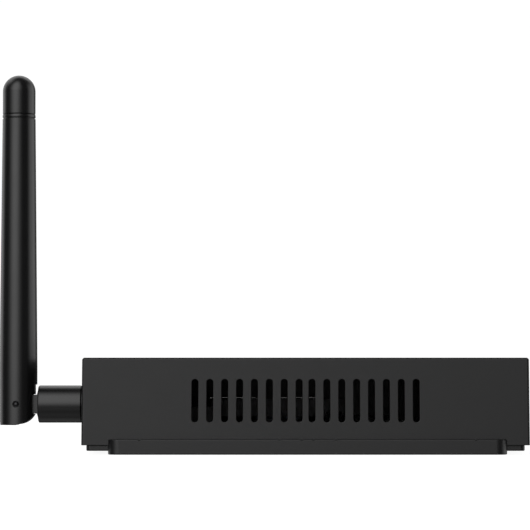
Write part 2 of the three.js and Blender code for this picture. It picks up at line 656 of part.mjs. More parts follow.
function wallBushing() {
  const { neck, flange, flangeFrom, flangeTo, start } = BUSHING;
  const bore = STEM.radius + GAP;
  const profile = [[bore, start], [neck, start], [neck, flangeFrom], [flange, flangeFrom], [flange, flangeTo],
    [bore, flangeTo], [bore, start]];
  return lathe('y', profile, [AERIAL_X, PIN.z]);
}

function bushingNut() {
  const { from, radius } = NUT;
  const to = HALF - WALL - GAP;
  return rod('y', radius, from, to, [AERIAL_X, PIN.z], 6)
    .subtract(rod('y', BUSHING.neck + GAP, from - EPS, to + EPS, [AERIAL_X, PIN.z]));
}

/** The thin lead from the end of the swivel stem to its plug on the radio module. */
function antennaLead() {
  const radius = 0.55;
  const start = STEM.start - GAP;
  const { x, y, z, radius: plugRadius, height } = LEAD_PLUG;
  const end = new THREE.Vector3(x - plugRadius - GAP, y, z + height / 2);
  const route = new THREE.CatmullRomCurve3([
    new THREE.Vector3(AERIAL_X, start, PIN.z),
    new THREE.Vector3(AERIAL_X, start - 2.2, PIN.z),
    new THREE.Vector3(AERIAL_X + 1.8, start - 4.2, PIN.z - 0.4),
    new THREE.Vector3(end.x - 3.5, end.y, end.z + 2.2),
    end,
  ]);
  const section = new THREE.Shape().absarc(0, 0, radius, 0, Math.PI * 2);
  const options = { extrudePath: route, steps: 16, curveSegments: 4, bevelEnabled: false };
  return solid(new THREE.ExtrudeGeometry(section, options));
}

function antennaLeadPlug() {
  const { x, y, z, radius, height, edge } = LEAD_PLUG;
  const top = z + height;
  const inner = radius - edge;
  const profile = [[0, z], [inner, z], [radius, z + edge], [radius, top - edge], [inner, top], [0, top]];
  return lathe('z', profile, [x, y], 20);
}

add(box, 'wall_bushing', wallBushing(), AERIAL_BLACK);
add(box, 'bushing_nut', bushingNut(), STEEL);
add(box, 'antenna_lead', antennaLead(), CONTACT_PLASTIC);
add(box, 'antenna_lead_plug', antennaLeadPlug(), BRASS);

// ---------------------------------------------------------------- the aerial's swivel
// From here on every place is measured from the hinge pin.

const alongSwivel = (y) => y - PIN.y;

/** The side outline of the tongue: a round nose about the pin, and a root that flares out to the barrel. */
function tongueOutline() {
  const { height, nose, flareFrom, flareHeight, flareBend } = TONGUE;
  const noseAngle = Math.asin(height / nose);
  const root = -BARREL.endToPin - EPS;
  const shape = new THREE.Shape();
  shape.moveTo(root, -flareHeight);
  shape.lineTo(-BARREL.endToPin, -flareHeight);
  shape.quadraticCurveTo(-flareFrom, -flareHeight + flareBend, -flareFrom, -height);
  shape.lineTo(-nose * Math.cos(noseAngle), -height);
  shape.absarc(0, 0, nose, Math.PI + noseAngle, 3 * Math.PI - noseAngle);
  shape.lineTo(-flareFrom, height);
  shape.quadraticCurveTo(-flareFrom, flareHeight - flareBend, -BARREL.endToPin, flareHeight);
  shape.lineTo(root, flareHeight);
  return shape;
}

function swivelBarrel() {
  const { radius, start, endToPin, edge } = BARREL;
  const profile = [[0, alongSwivel(STEM.start)], [STEM.radius, alongSwivel(STEM.start)],
    [STEM.radius, alongSwivel(start)], [radius, alongSwivel(start)], [radius, -endToPin - edge],
    [radius - edge, -endToPin], [0, -endToPin]];
  const turnedBody = lathe('y', profile, [0, 0], 32);
  const from = alongSwivel(CLIP.from + (CLIP.thickness - CLIP.groove) / 2);
  const to = from + CLIP.groove;
  const groove = rod('y', STEM.radius + EPS, from, to, [0, 0])
    .subtract(rod('y', STEM.radius - CLIP.grooveDepth, from - EPS, to + EPS, [0, 0]));
  const tongue = prism('x', tongueOutline(), -TONGUE.half, TONGUE.half, [0, 0], 6);
  const pinHole = rod('x', PIN_HOLE, -TONGUE.half - EPS, TONGUE.half + EPS, [0, 0]);
  const leadBore = rod('y', STEM.bore, alongSwivel(STEM.start) - EPS, -TONGUE.nose - STEM.bore, [0, 0], 12);
  return without(turnedBody.add(tongue), [groove, pinHole, leadBore]);
}

/** The open ring that keeps the stem in the bushing. */
function swivelClip() {
  const { radius, thickness, mouth, grooveDepth } = CLIP;
  const from = alongSwivel(CLIP.from);
  const to = from + thickness;
  const inside = rod('y', STEM.radius - grooveDepth + 0.2, from - EPS, to + EPS, [0, 0]);
  const opening = block([-mouth / 2, from - EPS, -radius - EPS], [mouth / 2, to + EPS, 0]);
  return without(rod('y', radius, from, to, [0, 0]), [inside, opening]);
}

add(swivel, 'swivel_barrel', swivelBarrel(), AERIAL_BLACK);
add(swivel, 'swivel_clip', swivelClip(), STEEL);

// ---------------------------------------------------------------- the aerial's arm

/** The sleeve: a tapering tube whose lower end is a fork around the tongue. */
function antennaSleeve() {
  const { axisY, bottom, baseRadius, taperFrom, topRadius, top, edge, bore, boreFrom } = SLEEVE;
  const at = [0, axisY];
  const slope = (baseRadius - topRadius) / (top - taperFrom);
  const radiusAt = (z) => baseRadius - slope * (z - taperFrom);
  const grooveEdge = (side) => GROOVE.z + (side * GROOVE.width) / 2;
  const foot = [[0, bottom], [baseRadius - edge, bottom], [baseRadius, bottom + edge], [baseRadius, taperFrom]];
  const groove = [[radiusAt(grooveEdge(-1)), grooveEdge(-1)], [radiusAt(GROOVE.z) - GROOVE.depth, GROOVE.z],
    [radiusAt(grooveEdge(1)), grooveEdge(1)]];
  const head = [[topRadius, top - edge / 2], [topRadius - edge / 2, top], [0, top]];
  const { slot, depth, relief, flatY, flatTop, swing } = CLEVIS;
  const far = 12;
  const nose = rod('x', swing, -far - EPS, far + EPS, [0, 0], 64);
  const quarter = block([-far, -far, -far], [far, 0, 0]).subtract(nose);
  return without(lathe('z', [...foot, ...groove, ...head], at, 32), [
    rod('z', bore, boreFrom, top + EPS, at),
    rod('z', LEAD_HOLE, 0, boreFrom + EPS, [0, 0], 12),
    block([-slot, -far, -far], [slot, depth, depth]),
    block([-slot, 0, -far], [slot, far, relief]),
    block([-far, -far, -far], [far, flatY, flatTop]),
    block([-far, -far, -NOTCH.half], [far, flatY + NOTCH.depth, NOTCH.half]),
    quarter,
    rod('x', PIN_HOLE, -far, far, [0, 0]),
  ]);
}

function antennaCap() {
  const { bottom, top, radius, plug, plugFrom, edge, rings } = CAP;
  const centre = top - radius;
  const dome = Array.from({ length: rings }, (_, i) => {
    const angle = (i / rings) * (Math.PI / 2);
    return [radius * Math.cos(angle), centre + radius * Math.sin(angle)];
  });
  const stem = [[0, plugFrom], [plug, plugFrom], [plug, bottom]];
  const rim = [[radius - edge, bottom], [radius, bottom + edge]];
  return lathe('z', [...stem, ...rim, ...dome, [0, top]], [0, SLEEVE.axisY], 32);
}

/** The radiator: a feed wire, a brass tube around its lower half, and the plug that centres it. */
function antennaRadiator() {
  const { plugTop, wire, tube, tubeFrom, tubeTo, whip, top } = RADIATOR;
  const start = SLEEVE.boreFrom + GAP;
  const plug = SLEEVE.bore - GAP;
  const foot = [[0, start], [plug, start], [plug, plugTop], [wire, plugTop], [wire, tubeFrom]];
  const rest = [[tube, tubeFrom], [tube, tubeTo], [whip, tubeTo], [whip, top], [0, top]];
  return lathe('z', [...foot, ...rest], [0, SLEEVE.axisY], 14);
}

function hingePin() {
  const { half, dome, flat } = HINGE_PIN;
  const radius = PIN_HOLE - GAP;
  const profile = [[0, -half], [radius * 0.6, -half + flat], [radius, -half + dome], [radius, half - dome],
    [radius * 0.6, half - flat], [0, half]];
  return lathe('x', profile, [0, 0], 20);
}

add(arm, 'antenna_sleeve', antennaSleeve(), AERIAL_BLACK);
add(arm, 'antenna_cap', antennaCap(), AERIAL_BLACK);
add(arm, 'antenna_radiator', antennaRadiator(), BRASS);
add(arm, 'hinge_pin', hingePin(), BLACK_STEEL);

export default player;
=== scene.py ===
"""The looks of the streaming media player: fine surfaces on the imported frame, materials, studio and camera.

Meshes are drawn in millimetres in the part's own frame and scaled to metres as each piece is finished.
The front faces -Y, the rear sockets and the aerial +Y, the louvred wall -X and the USB wall +X.
"""

import json
import math

import bmesh
import bpy
from mathutils import Matrix, Vector


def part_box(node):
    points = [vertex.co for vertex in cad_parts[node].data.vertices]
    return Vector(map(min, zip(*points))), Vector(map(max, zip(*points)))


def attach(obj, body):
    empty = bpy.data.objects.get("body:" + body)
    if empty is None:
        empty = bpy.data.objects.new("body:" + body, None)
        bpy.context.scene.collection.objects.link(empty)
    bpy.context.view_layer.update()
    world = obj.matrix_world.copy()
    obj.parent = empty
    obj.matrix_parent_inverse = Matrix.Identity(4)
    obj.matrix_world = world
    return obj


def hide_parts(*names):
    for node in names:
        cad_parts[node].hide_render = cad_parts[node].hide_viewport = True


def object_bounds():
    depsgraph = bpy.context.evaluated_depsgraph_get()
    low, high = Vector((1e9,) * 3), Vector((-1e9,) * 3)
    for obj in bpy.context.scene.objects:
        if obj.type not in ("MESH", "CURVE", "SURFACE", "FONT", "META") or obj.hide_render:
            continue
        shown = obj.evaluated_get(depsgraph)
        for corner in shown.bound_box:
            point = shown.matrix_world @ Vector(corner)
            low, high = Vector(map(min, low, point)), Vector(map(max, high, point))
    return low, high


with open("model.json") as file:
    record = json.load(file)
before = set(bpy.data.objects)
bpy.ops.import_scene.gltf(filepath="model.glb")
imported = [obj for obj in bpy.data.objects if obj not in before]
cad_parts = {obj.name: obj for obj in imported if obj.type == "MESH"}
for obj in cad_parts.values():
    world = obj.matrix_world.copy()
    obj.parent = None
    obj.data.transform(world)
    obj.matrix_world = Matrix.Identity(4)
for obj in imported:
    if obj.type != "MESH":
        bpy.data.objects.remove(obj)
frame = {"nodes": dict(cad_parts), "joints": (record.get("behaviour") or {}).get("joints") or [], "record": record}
CAD_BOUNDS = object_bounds()

MM = 0.001
TINY = 1e-6
EPS = 1.0  # how far a cutter runs past the face that it opens


def span(node):
    """Lowest and highest corner of a CAD node, in millimetres."""
    low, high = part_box(node)
    return low / MM, high / MM


def node_middle(node):
    low, high = span(node)
    return (low + high) / 2


def node_size(node):
    low, high = span(node)
    return high - low


HOUSING_LOW, HOUSING_HIGH = span("upper_housing")
HALF = HOUSING_HIGH.x


def joint_point(name):
    """Where a hinge turns, in millimetres."""
    joint = next(j for j in frame["joints"] if j["name"] == name)
    return Vector(joint["pos_m"]) / MM


# ------------------------------------------------------------------ camera and studio

CAMERA = {"focal": 190, "distance": 718.1, "across": 10.42, "height": 17.65, "tilt": 1.82, "shift": 0.06}

# Soft white panels round the object, by name: the azimuth and elevation of the middle, the half width and
# half height, how far the upright and the level edges fade, all in degrees, and last the brightness. Azimuth 0
# is in front, 90 on the USB wall's side, 180 behind and 270 on the louvred wall's side, where the camera stands.
PANELS = {
    "key": (249, 35, 30, 32, 22, 22, 2.3),
    "key_low": (248, 2, 19, 12, 16, 16, 0.9),
    "front_wall": (14, 5, 28, 30, 14, 20, 1.25),
    "rear_wall": (140, 5, 22, 25, 10, 20, 1.0),
    "far_top": (110, 50, 70, 12, 20, 18, 1.4),
    "far_wall": (92, 26, 38, 10, 20, 16, 0.7),
    "floor_front": (270, -30, 60, 10, 30, 14, 0.36),
    "floor_below": (270, -68, 200, 18, 10, 16, 0.27),
}
AMBIENT = 0.08
PAPER = 1.02  # brightness of the backdrop that the camera sees
FLOOR = {"radius": 6, "gap": 0.0001, "grey": 0.25, "glow": 0.93}


def make_camera():
    """A long lens that faces the louvred wall at the height of the box, tipped up a little to the aerial."""
    data = bpy.data.cameras.new("camera")
    data.sensor_width = 36
    data.lens = CAMERA["focal"]
    data.shift_y = CAMERA["shift"]
    data.clip_start = 0.05
    data.clip_end = 20
    camera = bpy.data.objects.new("camera", data)
    bpy.context.scene.collection.objects.link(camera)
    camera.location = Vector((-HALF - CAMERA["distance"], CAMERA["across"], CAMERA["height"])) * MM
    camera.rotation_euler = (math.pi / 2 + math.radians(CAMERA["tilt"]), 0, -math.pi / 2)
    bpy.context.scene.camera = camera


class Maths:
    """Builds sums on numbers and sockets out of maths nodes."""

    def __init__(self, tree):
        self.nodes, self.links = tree.nodes, tree.links

    def feed(self, node, index, value):
        if isinstance(value, (int, float)):
            node.inputs[index].default_value = value
        else:
            self.links.new(value, node.inputs[index])

    def do(self, operation, *values):
        node = self.nodes.new("ShaderNodeMath")
        node.operation = operation
        for index, value in enumerate(values):
            self.feed(node, index, value)
        return node.outputs[0]

    def window(self, value, half, soft):
        """1 where a value is within half of nothing, fading out over soft each way."""
        node = self.nodes.new("ShaderNodeMapRange")
        node.interpolation_type = "SMOOTHSTEP"
        node.inputs["From Min"].default_value = half + soft
        node.inputs["From Max"].default_value = half - soft
        self.feed(node, 0, self.do("ABSOLUTE", value))
        return node.outputs[0]


def panel_light(maths, axes, azimuth, elevation, half_width, half_height, soft_across, soft_up):
    """How much of a soft panel lies in the direction looked along."""
    x, y, z = axes
    turn = math.radians(azimuth)
    sine, cosine = math.sin(turn), math.cos(turn)
    ahead = maths.do("SUBTRACT", maths.do("MULTIPLY", x, sine), maths.do("MULTIPLY", y, cosine))
    aside = maths.do("ADD", maths.do("MULTIPLY", x, cosine), maths.do("MULTIPLY", y, sine))
    across = maths.do("ARCTAN2", aside, ahead)
    up = maths.do("SUBTRACT", maths.do("ARCSINE", z), math.radians(elevation))
    return maths.do(
        "MULTIPLY",
        maths.window(across, math.radians(half_width), math.radians(soft_across)),
        maths.window(up, math.radians(half_height), math.radians(soft_up)),
    )


def make_world():
    """The panels light the object; the camera itself sees a plain pale backdrop."""
    world = bpy.data.worlds.new("studio")
    bpy.context.scene.world = world
    world.use_nodes = True
    nodes, links = world.node_tree.nodes, world.node_tree.links
    nodes.clear()
    maths = Maths(world.node_tree)
    split = nodes.new("ShaderNodeSeparateXYZ")
    links.new(nodes.new("ShaderNodeTexCoord").outputs["Generated"], split.inputs[0])
    total = AMBIENT
    for name, (*shape, brightness) in PANELS.items():
        lit = maths.do("MULTIPLY", panel_light(maths, split.outputs, *shape), brightness)
        lit.node.name = "panel_" + name
        total = maths.do("ADD", lit, total)
    total.node.name = "panels"
    room, paper = nodes.new("ShaderNodeBackground"), nodes.new("ShaderNodeBackground")
    for background in (room, paper):
        background.inputs["Color"].default_value = (1, 1, 1, 1)
    links.new(total, room.inputs["Strength"])
    paper.inputs["Strength"].default_value = PAPER
    mix = nodes.new("ShaderNodeMixShader")
    links.new(nodes.new("ShaderNodeLightPath").outputs["Is Camera Ray"], mix.inputs["Fac"])
    links.new(room.outputs[0], mix.inputs[1])
    links.new(paper.outputs[0], mix.inputs[2])
    links.new(mix.outputs[0], nodes.new("ShaderNodeOutputWorld").inputs["Surface"])


def make_floor():
    """A pale light table: it glows, so only a faint shadow falls on it, and it stays out of reflections."""
    bm = bmesh.new()
    bmesh.ops.create_circle(bm, cap_ends=True, radius=FLOOR["radius"], segments=96)
    floor = to_object("floor", bm)
    floor.location.z = CAD_BOUNDS[0].z - FLOOR["gap"]
    material = bpy.data.materials.new("light_table")
    material.use_nodes = True
    shader = material.node_tree.nodes["Principled BSDF"]
    shader.inputs["Base Color"].default_value = (FLOOR["grey"], FLOOR["grey"], FLOOR["grey"], 1)
    shader.inputs["Roughness"].default_value = 1.0
    shader.inputs["Specular IOR Level"].default_value = 0.0
    shader.inputs["Emission Color"].default_value = (1, 1, 1, 1)
    shader.inputs["Emission Strength"].default_value = FLOOR["glow"]
    floor.data.materials.append(material)
    floor.visible_glossy = False
    floor.visible_diffuse = False


def make_studio():
    bpy.context.scene.view_settings.view_transform = "Standard"
    make_world()
    make_floor()


# ------------------------------------------------------------------ materials


class Look:
    """A procedural material: a principled shader with helpers for the textures that feed it."""

    def __init__(self, name, colour, roughness, metallic=0.0, ior=1.5):
        self.material = bpy.data.materials.new(name)
        self.material.use_nodes = True
        self.nodes = self.material.node_tree.nodes
        self.links = self.material.node_tree.links
        self.shader = self.nodes["Principled BSDF"]
        self.shader.inputs["Base Color"].default_value = (*colour, 1)
        self.shader.inputs["Roughness"].default_value = roughness
        self.shader.inputs["Metallic"].default_value = metallic
        self.shader.inputs["IOR"].default_value = ior
        self.colour, self.roughness = colour, roughness
        self.place = self.nodes.new("ShaderNodeTexCoord").outputs["Object"]
        self.height = None

    def noise(self, scale, detail=3.0, stretch=(1, 1, 1)):
        """Noise whose grains are about 1 / scale metres across."""
        mapping = self.nodes.new("ShaderNodeMapping")
        mapping.inputs["Scale"].default_value = stretch
        self.links.new(self.place, mapping.inputs["Vector"])
        noise = self.nodes.new("ShaderNodeTexNoise")
        noise.inputs["Scale"].default_value = scale
        noise.inputs["Detail"].default_value = detail
        self.links.new(mapping.outputs[0], noise.inputs["Vector"])
        return noise.outputs["Fac"]

    def cells(self, scale):
        """Distance to the middle of cells about 1 / scale metres across."""
        cells = self.nodes.new("ShaderNodeTexVoronoi")
        cells.inputs["Scale"].default_value = scale
        self.links.new(self.place, cells.inputs["Vector"])
        return cells.outputs["Distance"]

    def ranged(self, value, low, high, source=(0.3, 0.7)):
        """A texture's values between source's limits, spread over low to high."""
        node = self.nodes.new("ShaderNodeMapRange")
        node.inputs["From Min"].default_value, node.inputs["From Max"].default_value = source
        node.inputs["To Min"].default_value, node.inputs["To Max"].default_value = low, high
        self.links.new(value, node.inputs["Value"])
        return node.outputs[0]

    def vary_roughness(self, value, spread):
        self.links.new(
            self.ranged(value, self.roughness - spread, self.roughness + spread),
            self.shader.inputs["Roughness"],
        )
        return self

    def vary_colour(self, value, other, source=(0.35, 0.65)):
        """Blends the base colour towards another where the texture is high."""
        mix = self.nodes.new("ShaderNodeMix")
        mix.data_type = "RGBA"
        mix.inputs["A"].default_value = (*self.colour, 1)
        mix.inputs["B"].default_value = (*other, 1)
        self.links.new(self.ranged(value, 0, 1, source), mix.inputs["Factor"])
        self.links.new(mix.outputs["Result"], self.shader.inputs["Base Color"])
        return self

    def bump(self, value, depth):
        """Raises the surface by up to depth metres where the texture is high. Calls stack on one another."""
        node = self.nodes.new("ShaderNodeBump")
        node.inputs["Distance"].default_value = depth
        node.inputs["Strength"].default_value = 1.0
        self.links.new(value, node.inputs["Height"])
        if self.height is not None:
            self.links.new(self.height, node.inputs["Normal"])
        self.height = node.outputs[0]
        self.links.new(self.height, self.shader.inputs["Normal"])
        return self


def scaled(colour, factor):
    return tuple(c * factor for c in colour)


def moulded_plastic(name, colour, roughness, grain, depth, ior=1.5):
    """Injection-moulded plastic: a fine spark-eroded grain, faint flow marks, and slightly uneven gloss."""
    look = Look(name, colour, roughness, ior=ior)
    fine = look.noise(grain, detail=2)
    flow = look.noise(28, detail=2, stretch=(1, 1, 2.5))
    look.vary_colour(flow, scaled(colour, 1.1)).vary_roughness(look.noise(160, detail=4), 0.015)
    look.bump(fine, depth)
    return look.material


def polished_acrylic(name):
    """Smoked acrylic: nearly a mirror, with a faint polishing haze and a slow ripple."""
    look = Look(name, (0.004, 0.004, 0.005), 0.06, ior=1.49)
    look.vary_roughness(look.noise(90, detail=5), 0.02)
    look.bump(look.noise(14, detail=1), 0.00002)
    return look.material


def dull_rubber(name):
    """Rubber: matt and slightly pebbled, with greyer patches."""
    look = Look(name, (0.012, 0.012, 0.012), 0.78)
    look.vary_colour(look.noise(400), (0.022, 0.021, 0.02)).vary_roughness(look.noise(900), 0.08)
    look.bump(look.cells(2600), 0.00006)
    return look.material


def solder_mask(name, colour, trace):
    """A circuit board: mask over a net of slightly raised, lighter copper runs."""
    look = Look(name, colour, 0.38)
    brick = look.nodes.new("ShaderNodeTexBrick")
    brick.inputs["Scale"].default_value = 170
    brick.inputs["Mortar Size"].default_value = 0.05
    look.links.new(look.place, brick.inputs["Vector"])
    look.vary_colour(brick.outputs["Fac"], trace, source=(0, 1))
    look.vary_roughness(look.noise(300), 0.06)
    look.bump(brick.outputs["Fac"], 0.00003)
    return look.material


def sheet_metal(name, colour, roughness, direction):
    """Rolled and plated sheet: fine lines one way, blotchy gloss, and a little tarnish."""
    look = Look(name, colour, roughness, metallic=1.0)
    lines = look.noise(900, detail=3, stretch=direction)
    blotches = look.noise(220, detail=4)
    look.vary_colour(blotches, scaled(colour, 0.72), source=(0.45, 0.75)).vary_roughness(lines, 0.07)
    look.bump(lines, 0.000006)
    return look.material


def dull_component(name, colour, roughness=0.6):
    """Moulded, cast or coated small parts: a fine grain, and a slightly uneven colour and gloss."""
    look = Look(name, colour, roughness)
    look.vary_colour(look.noise(500), scaled(colour, 1.6))
    look.vary_roughness(look.noise(1500), 0.06)
    look.bump(look.noise(5000, detail=2), 0.000012)
    return look.material


# What makes each slot's material, and what that maker is told after the name.
LOOK_TABLE = {
    "housing_plastic": (moulded_plastic, (0.0042, 0.0042, 0.0045), 0.36, 3800, 0.000010, 1.445),
    "cradle_plastic": (moulded_plastic, (0.0046, 0.0046, 0.0049), 0.37, 3800, 0.000010, 1.45),
    "aerial_plastic": (moulded_plastic, (0.0050, 0.0050, 0.0052), 0.24, 5200, 0.000001),
    "window_acrylic": (polished_acrylic,),
    "foot_rubber": (dull_rubber,),
    "circuit_board": (solder_mask, (0.008, 0.06, 0.03), (0.02, 0.13, 0.06)),
    "radio_board": (solder_mask, (0.006, 0.02, 0.09), (0.02, 0.06, 0.2)),
    "black_component": (dull_component, (0.035, 0.035, 0.037)),
    "contact_plastic": (dull_component, (0.018, 0.018, 0.019), 0.5),
    "white_plastic": (dull_component, (0.68, 0.66, 0.6), 0.4),
    "led_lens": (dull_component, (0.35, 0.45, 0.65), 0.12),
    "ribbon_cable": (dull_component, (0.5, 0.48, 0.43), 0.5),
    "thermal_pad": (dull_component, (0.2, 0.23, 0.28), 0.85),
    "heatsink_aluminium": (dull_component, (0.04, 0.04, 0.043), 0.55),
    "ferrite": (dull_component, (0.035, 0.035, 0.037), 0.7),
    "socket_steel": (sheet_metal, (0.62, 0.62, 0.61), 0.27, (1, 1, 14)),
    "screw_steel": (sheet_metal, (0.45, 0.46, 0.47), 0.33, (4, 4, 1)),
    "pin_steel": (sheet_metal, (0.05, 0.05, 0.052), 0.4, (1, 4, 4)),
    "brass": (sheet_metal, (0.75, 0.55, 0.22), 0.25, (6, 1, 1)),
    "cable_jacket": (dull_component, (0.012, 0.012, 0.012), 0.5),
}


# ------------------------------------------------------------------ meshes

SMOOTH_ANGLE = 32
# Which way an outline's right, up and depth point for each axis that it is carried along.
TURNS = {
    "x": Matrix(((0, 0, 1), (1, 0, 0), (0, 1, 0))),
    "y": Matrix(((-1, 0, 0), (0, 0, 1), (0, 1, 0))),
    "z": Matrix.Identity(3),
}


def placed(axis, at):
    """The matrix that turns a shape drawn about Z to lie along an axis, moved across it to at."""
    shift = {"x": (0, at[0], at[1]), "y": (at[0], 0, at[1]), "z": (at[0], at[1], 0)}[axis]
    return Matrix.Translation(shift) @ TURNS[axis].to_4x4()


def to_object(name, bm):
    """Makes a linked object out of a bmesh, and frees the bmesh."""
    mesh = bpy.data.meshes.new(name)
    bm.to_mesh(mesh)
    bm.free()
    obj = bpy.data.objects.new(name, mesh)
    bpy.context.scene.collection.objects.link(obj)
    return obj


def skin(rows, closed=False):
    """A closed skin through rows of points. A row of one point is a pole; other end rows are capped, unless
    the rows close on themselves."""
    bm = bmesh.new()
    loops = [[bm.verts.new(p) for p in row] for row in rows]
    pairs = list(zip(loops, loops[1:])) + ([(loops[-1], loops[0])] if closed else [])
    for below, above in pairs:
        for i in range(max(len(below), len(above))):
            places = ((below, i), (below, i + 1), (above, i + 1), (above, i))
            corners = [loop[k % len(loop)] for loop, k in places]
            bm.faces.new(list(dict.fromkeys(corners)))
    if not closed:
        for loop in (loops[0], loops[-1]):
            if len(loop) > 2:
                bm.faces.new(loop)
    bmesh.ops.recalc_face_normals(bm, faces=bm.faces)
    return bm


def square(size):
    return (size, size)


def rounded(width, height, radius, steps=6):
    """The points of a rounded rectangle about the origin, anticlockwise."""
    radius = min(radius, width / 2, height / 2)
    points = []
    for quarter, (sx, sy) in enumerate(((1, 1), (-1, 1), (-1, -1), (1, -1))):
        for step in range(steps + 1):
            angle = math.pi / 2 * (quarter + step / steps)
            x = sx * (width / 2 - radius) + radius * math.cos(angle)
            y = sy * (height / 2 - radius) + radius * math.sin(angle)
            points.append((x, y))
    return [p for i, p in enumerate(points) if math.dist(p, points[i - 1]) > TINY]


def row(points, depth, matrix):
    """Flat points at a depth, turned and moved by a matrix."""
    return [matrix @ Vector((x, y, depth)) for x, y in points]


def fillet(radius, steps=5):
    """(inset, depth) pairs round a quarter circle, from a face's edge to the side."""
    turns = [math.pi / 2 * i / steps for i in range(steps + 1)]
    return [(radius * (1 - math.sin(t)), radius * (1 - math.cos(t))) for t in turns]


def chamfer(width, ease, steps=3):
    """The same for a 45 degree bevel whose own two edges are eased a little."""
    near = (width + ease, 0), (width, 0), (width - ease, ease)
    far = (ease, width - ease), (0, width), (0, width + ease)
    pairs = []
    for bend in (near, far):
        for t in (i / steps for i in range(steps + 1)):
            weights = ((1 - t) ** 2, 2 * t * (1 - t), t * t)
            pairs.append(tuple(sum(w * p[k] for w, p in zip(weights, bend)) for k in (0, 1)))
    return pairs


def slab(name, size, radius, low, high, edges, axis="z", at=(0, 0), steps=6):
    """A rounded box carried along an axis from low to high. Its (low, high) faces have rounded edges of the
    radii given, or edges given as (inset, depth) pairs."""
    matrix = placed(axis, at)
    first, last = (fillet(edge) if isinstance(edge, (int, float)) else edge for edge in edges)
    levels = [(inset, low + depth) for inset, depth in first]
    levels += [(inset, high - depth) for inset, depth in reversed(last)]
    rows = [
        row(rounded(size[0] - 2 * inset, size[1] - 2 * inset, radius - inset, steps), level, matrix)
        for inset, level in levels
    ]
    return to_object(name, skin(rows))


def hole(size, radius, outside, inside, rim, axis, at=(0, 0), steps=6):
    """A cutter for a hole that opens at outside, with a rounded rim there, and runs in to inside."""
    inward = 1 if inside > outside else -1
    matrix = placed(axis, at)
    grown = lambda grow: rounded(size[0] + 2 * grow, size[1] + 2 * grow, radius + grow, steps)
    rows = [row(grown(rim), outside - inward * EPS, matrix)]
    rows += [row(grown(grow), outside + inward * depth, matrix) for grow, depth in fillet(rim, 3)]
    rows.append(row(grown(0), inside, matrix))
    return to_object("cutter", skin(rows))


def revolve(name, profile, axis="z", at=(0, 0), sides=96, closed=False):
    """A body turned from (radius, place along the axis) points."""
    matrix = placed(axis, at)
    rows = []
    for radius, depth in profile:
        count = 1 if radius < TINY else sides
        turns = [2 * math.pi * k / sides for k in range(count)]
        rows.append([matrix @ Vector((radius * math.cos(t), radius * math.sin(t), depth)) for t in turns])
    return to_object(name, skin(rows, closed))


def rod(radius, low, high, axis, at, sides=48):
    return revolve("rod", [(0, low), (radius, low), (radius, high), (0, high)], axis, at, sides)


def block(low, high):
    """A plain box between two corners, for cutting with."""
    bm = bmesh.new()
    bmesh.ops.create_cube(bm, size=1)
    size = Vector(high) - Vector(low)
    middle = (Vector(high) + Vector(low)) / 2
    bm.transform(Matrix.Translation(middle) @ Matrix.Diagonal((*size, 1)))
    return to_object("block", bm)


def prism(name, points, low, high, axis, at):
    """An outline carried straight along an axis from low to high."""
    matrix = placed(axis, at)
    return to_object(name, skin([row(points, low, matrix), row(points, high, matrix)]))


def apply_modifiers(piece):
    """Replaces a piece's mesh with what its modifiers make of it."""
    evaluated = piece.evaluated_get(bpy.context.evaluated_depsgraph_get())
    mesh = bpy.data.meshes.new_from_object(evaluated)
    piece.modifiers.clear()
    piece.data = mesh


def joined(parts):
    """Several separate bodies as one object."""
    bm = bmesh.new()
    for part in parts:
        bm.from_mesh(part.data)
        bpy.data.objects.remove(part)
    return to_object("joined", bm)


def boolean(piece, tools, operation="DIFFERENCE"):
    """Cuts the tools out of a piece, or adds them to it. The tools don't overlap one another."""
    tool = joined(tools)
    modifier = piece.modifiers.new("boolean", "BOOLEAN")
    modifier.operation = operation
    modifier.solver = "EXACT"
    modifier.object = tool
    apply_modifiers(piece)
    bpy.data.objects.remove(tool)
    return piece


def soften(piece, width, angle=35):
    """Rounds every edge sharper than an angle."""
    modifier = piece.modifiers.new("edges", "BEVEL")
    modifier.width = width
    modifier.segments = 2
    modifier.limit_method = "ANGLE"
    modifier.angle_limit = math.radians(angle)
    modifier.use_clamp_overlap = True
    apply_modifiers(piece)
    return piece


def dress(obj, slot):
    """Gives an object a slot's material and shades it smooth up to an angle."""
    mesh = obj.data
    mesh.materials.clear()
    mesh.materials.append(LOOKS[slot])
    for polygon in mesh.polygons:
        polygon.material_index = 0
        polygon.use_smooth = True
    mesh.set_sharp_from_angle(angle=math.radians(SMOOTH_ANGLE))
    normals = obj.modifiers.new("weighted_normals", "WEIGHTED_NORMAL")
    normals.keep_sharp = True


def finish(obj, name, body, slot, replaces=()):
    """Scales a piece to metres, names it, dresses it, and lets it ride on a body."""
    obj.name = obj.data.name = name
    obj.data.transform(Matrix.Scale(MM, 4))
    dress(obj, slot)
    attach(obj, body)
    if replaces:
        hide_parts(*replaces)
    return obj


# ------------------------------------------------------------------ the shell

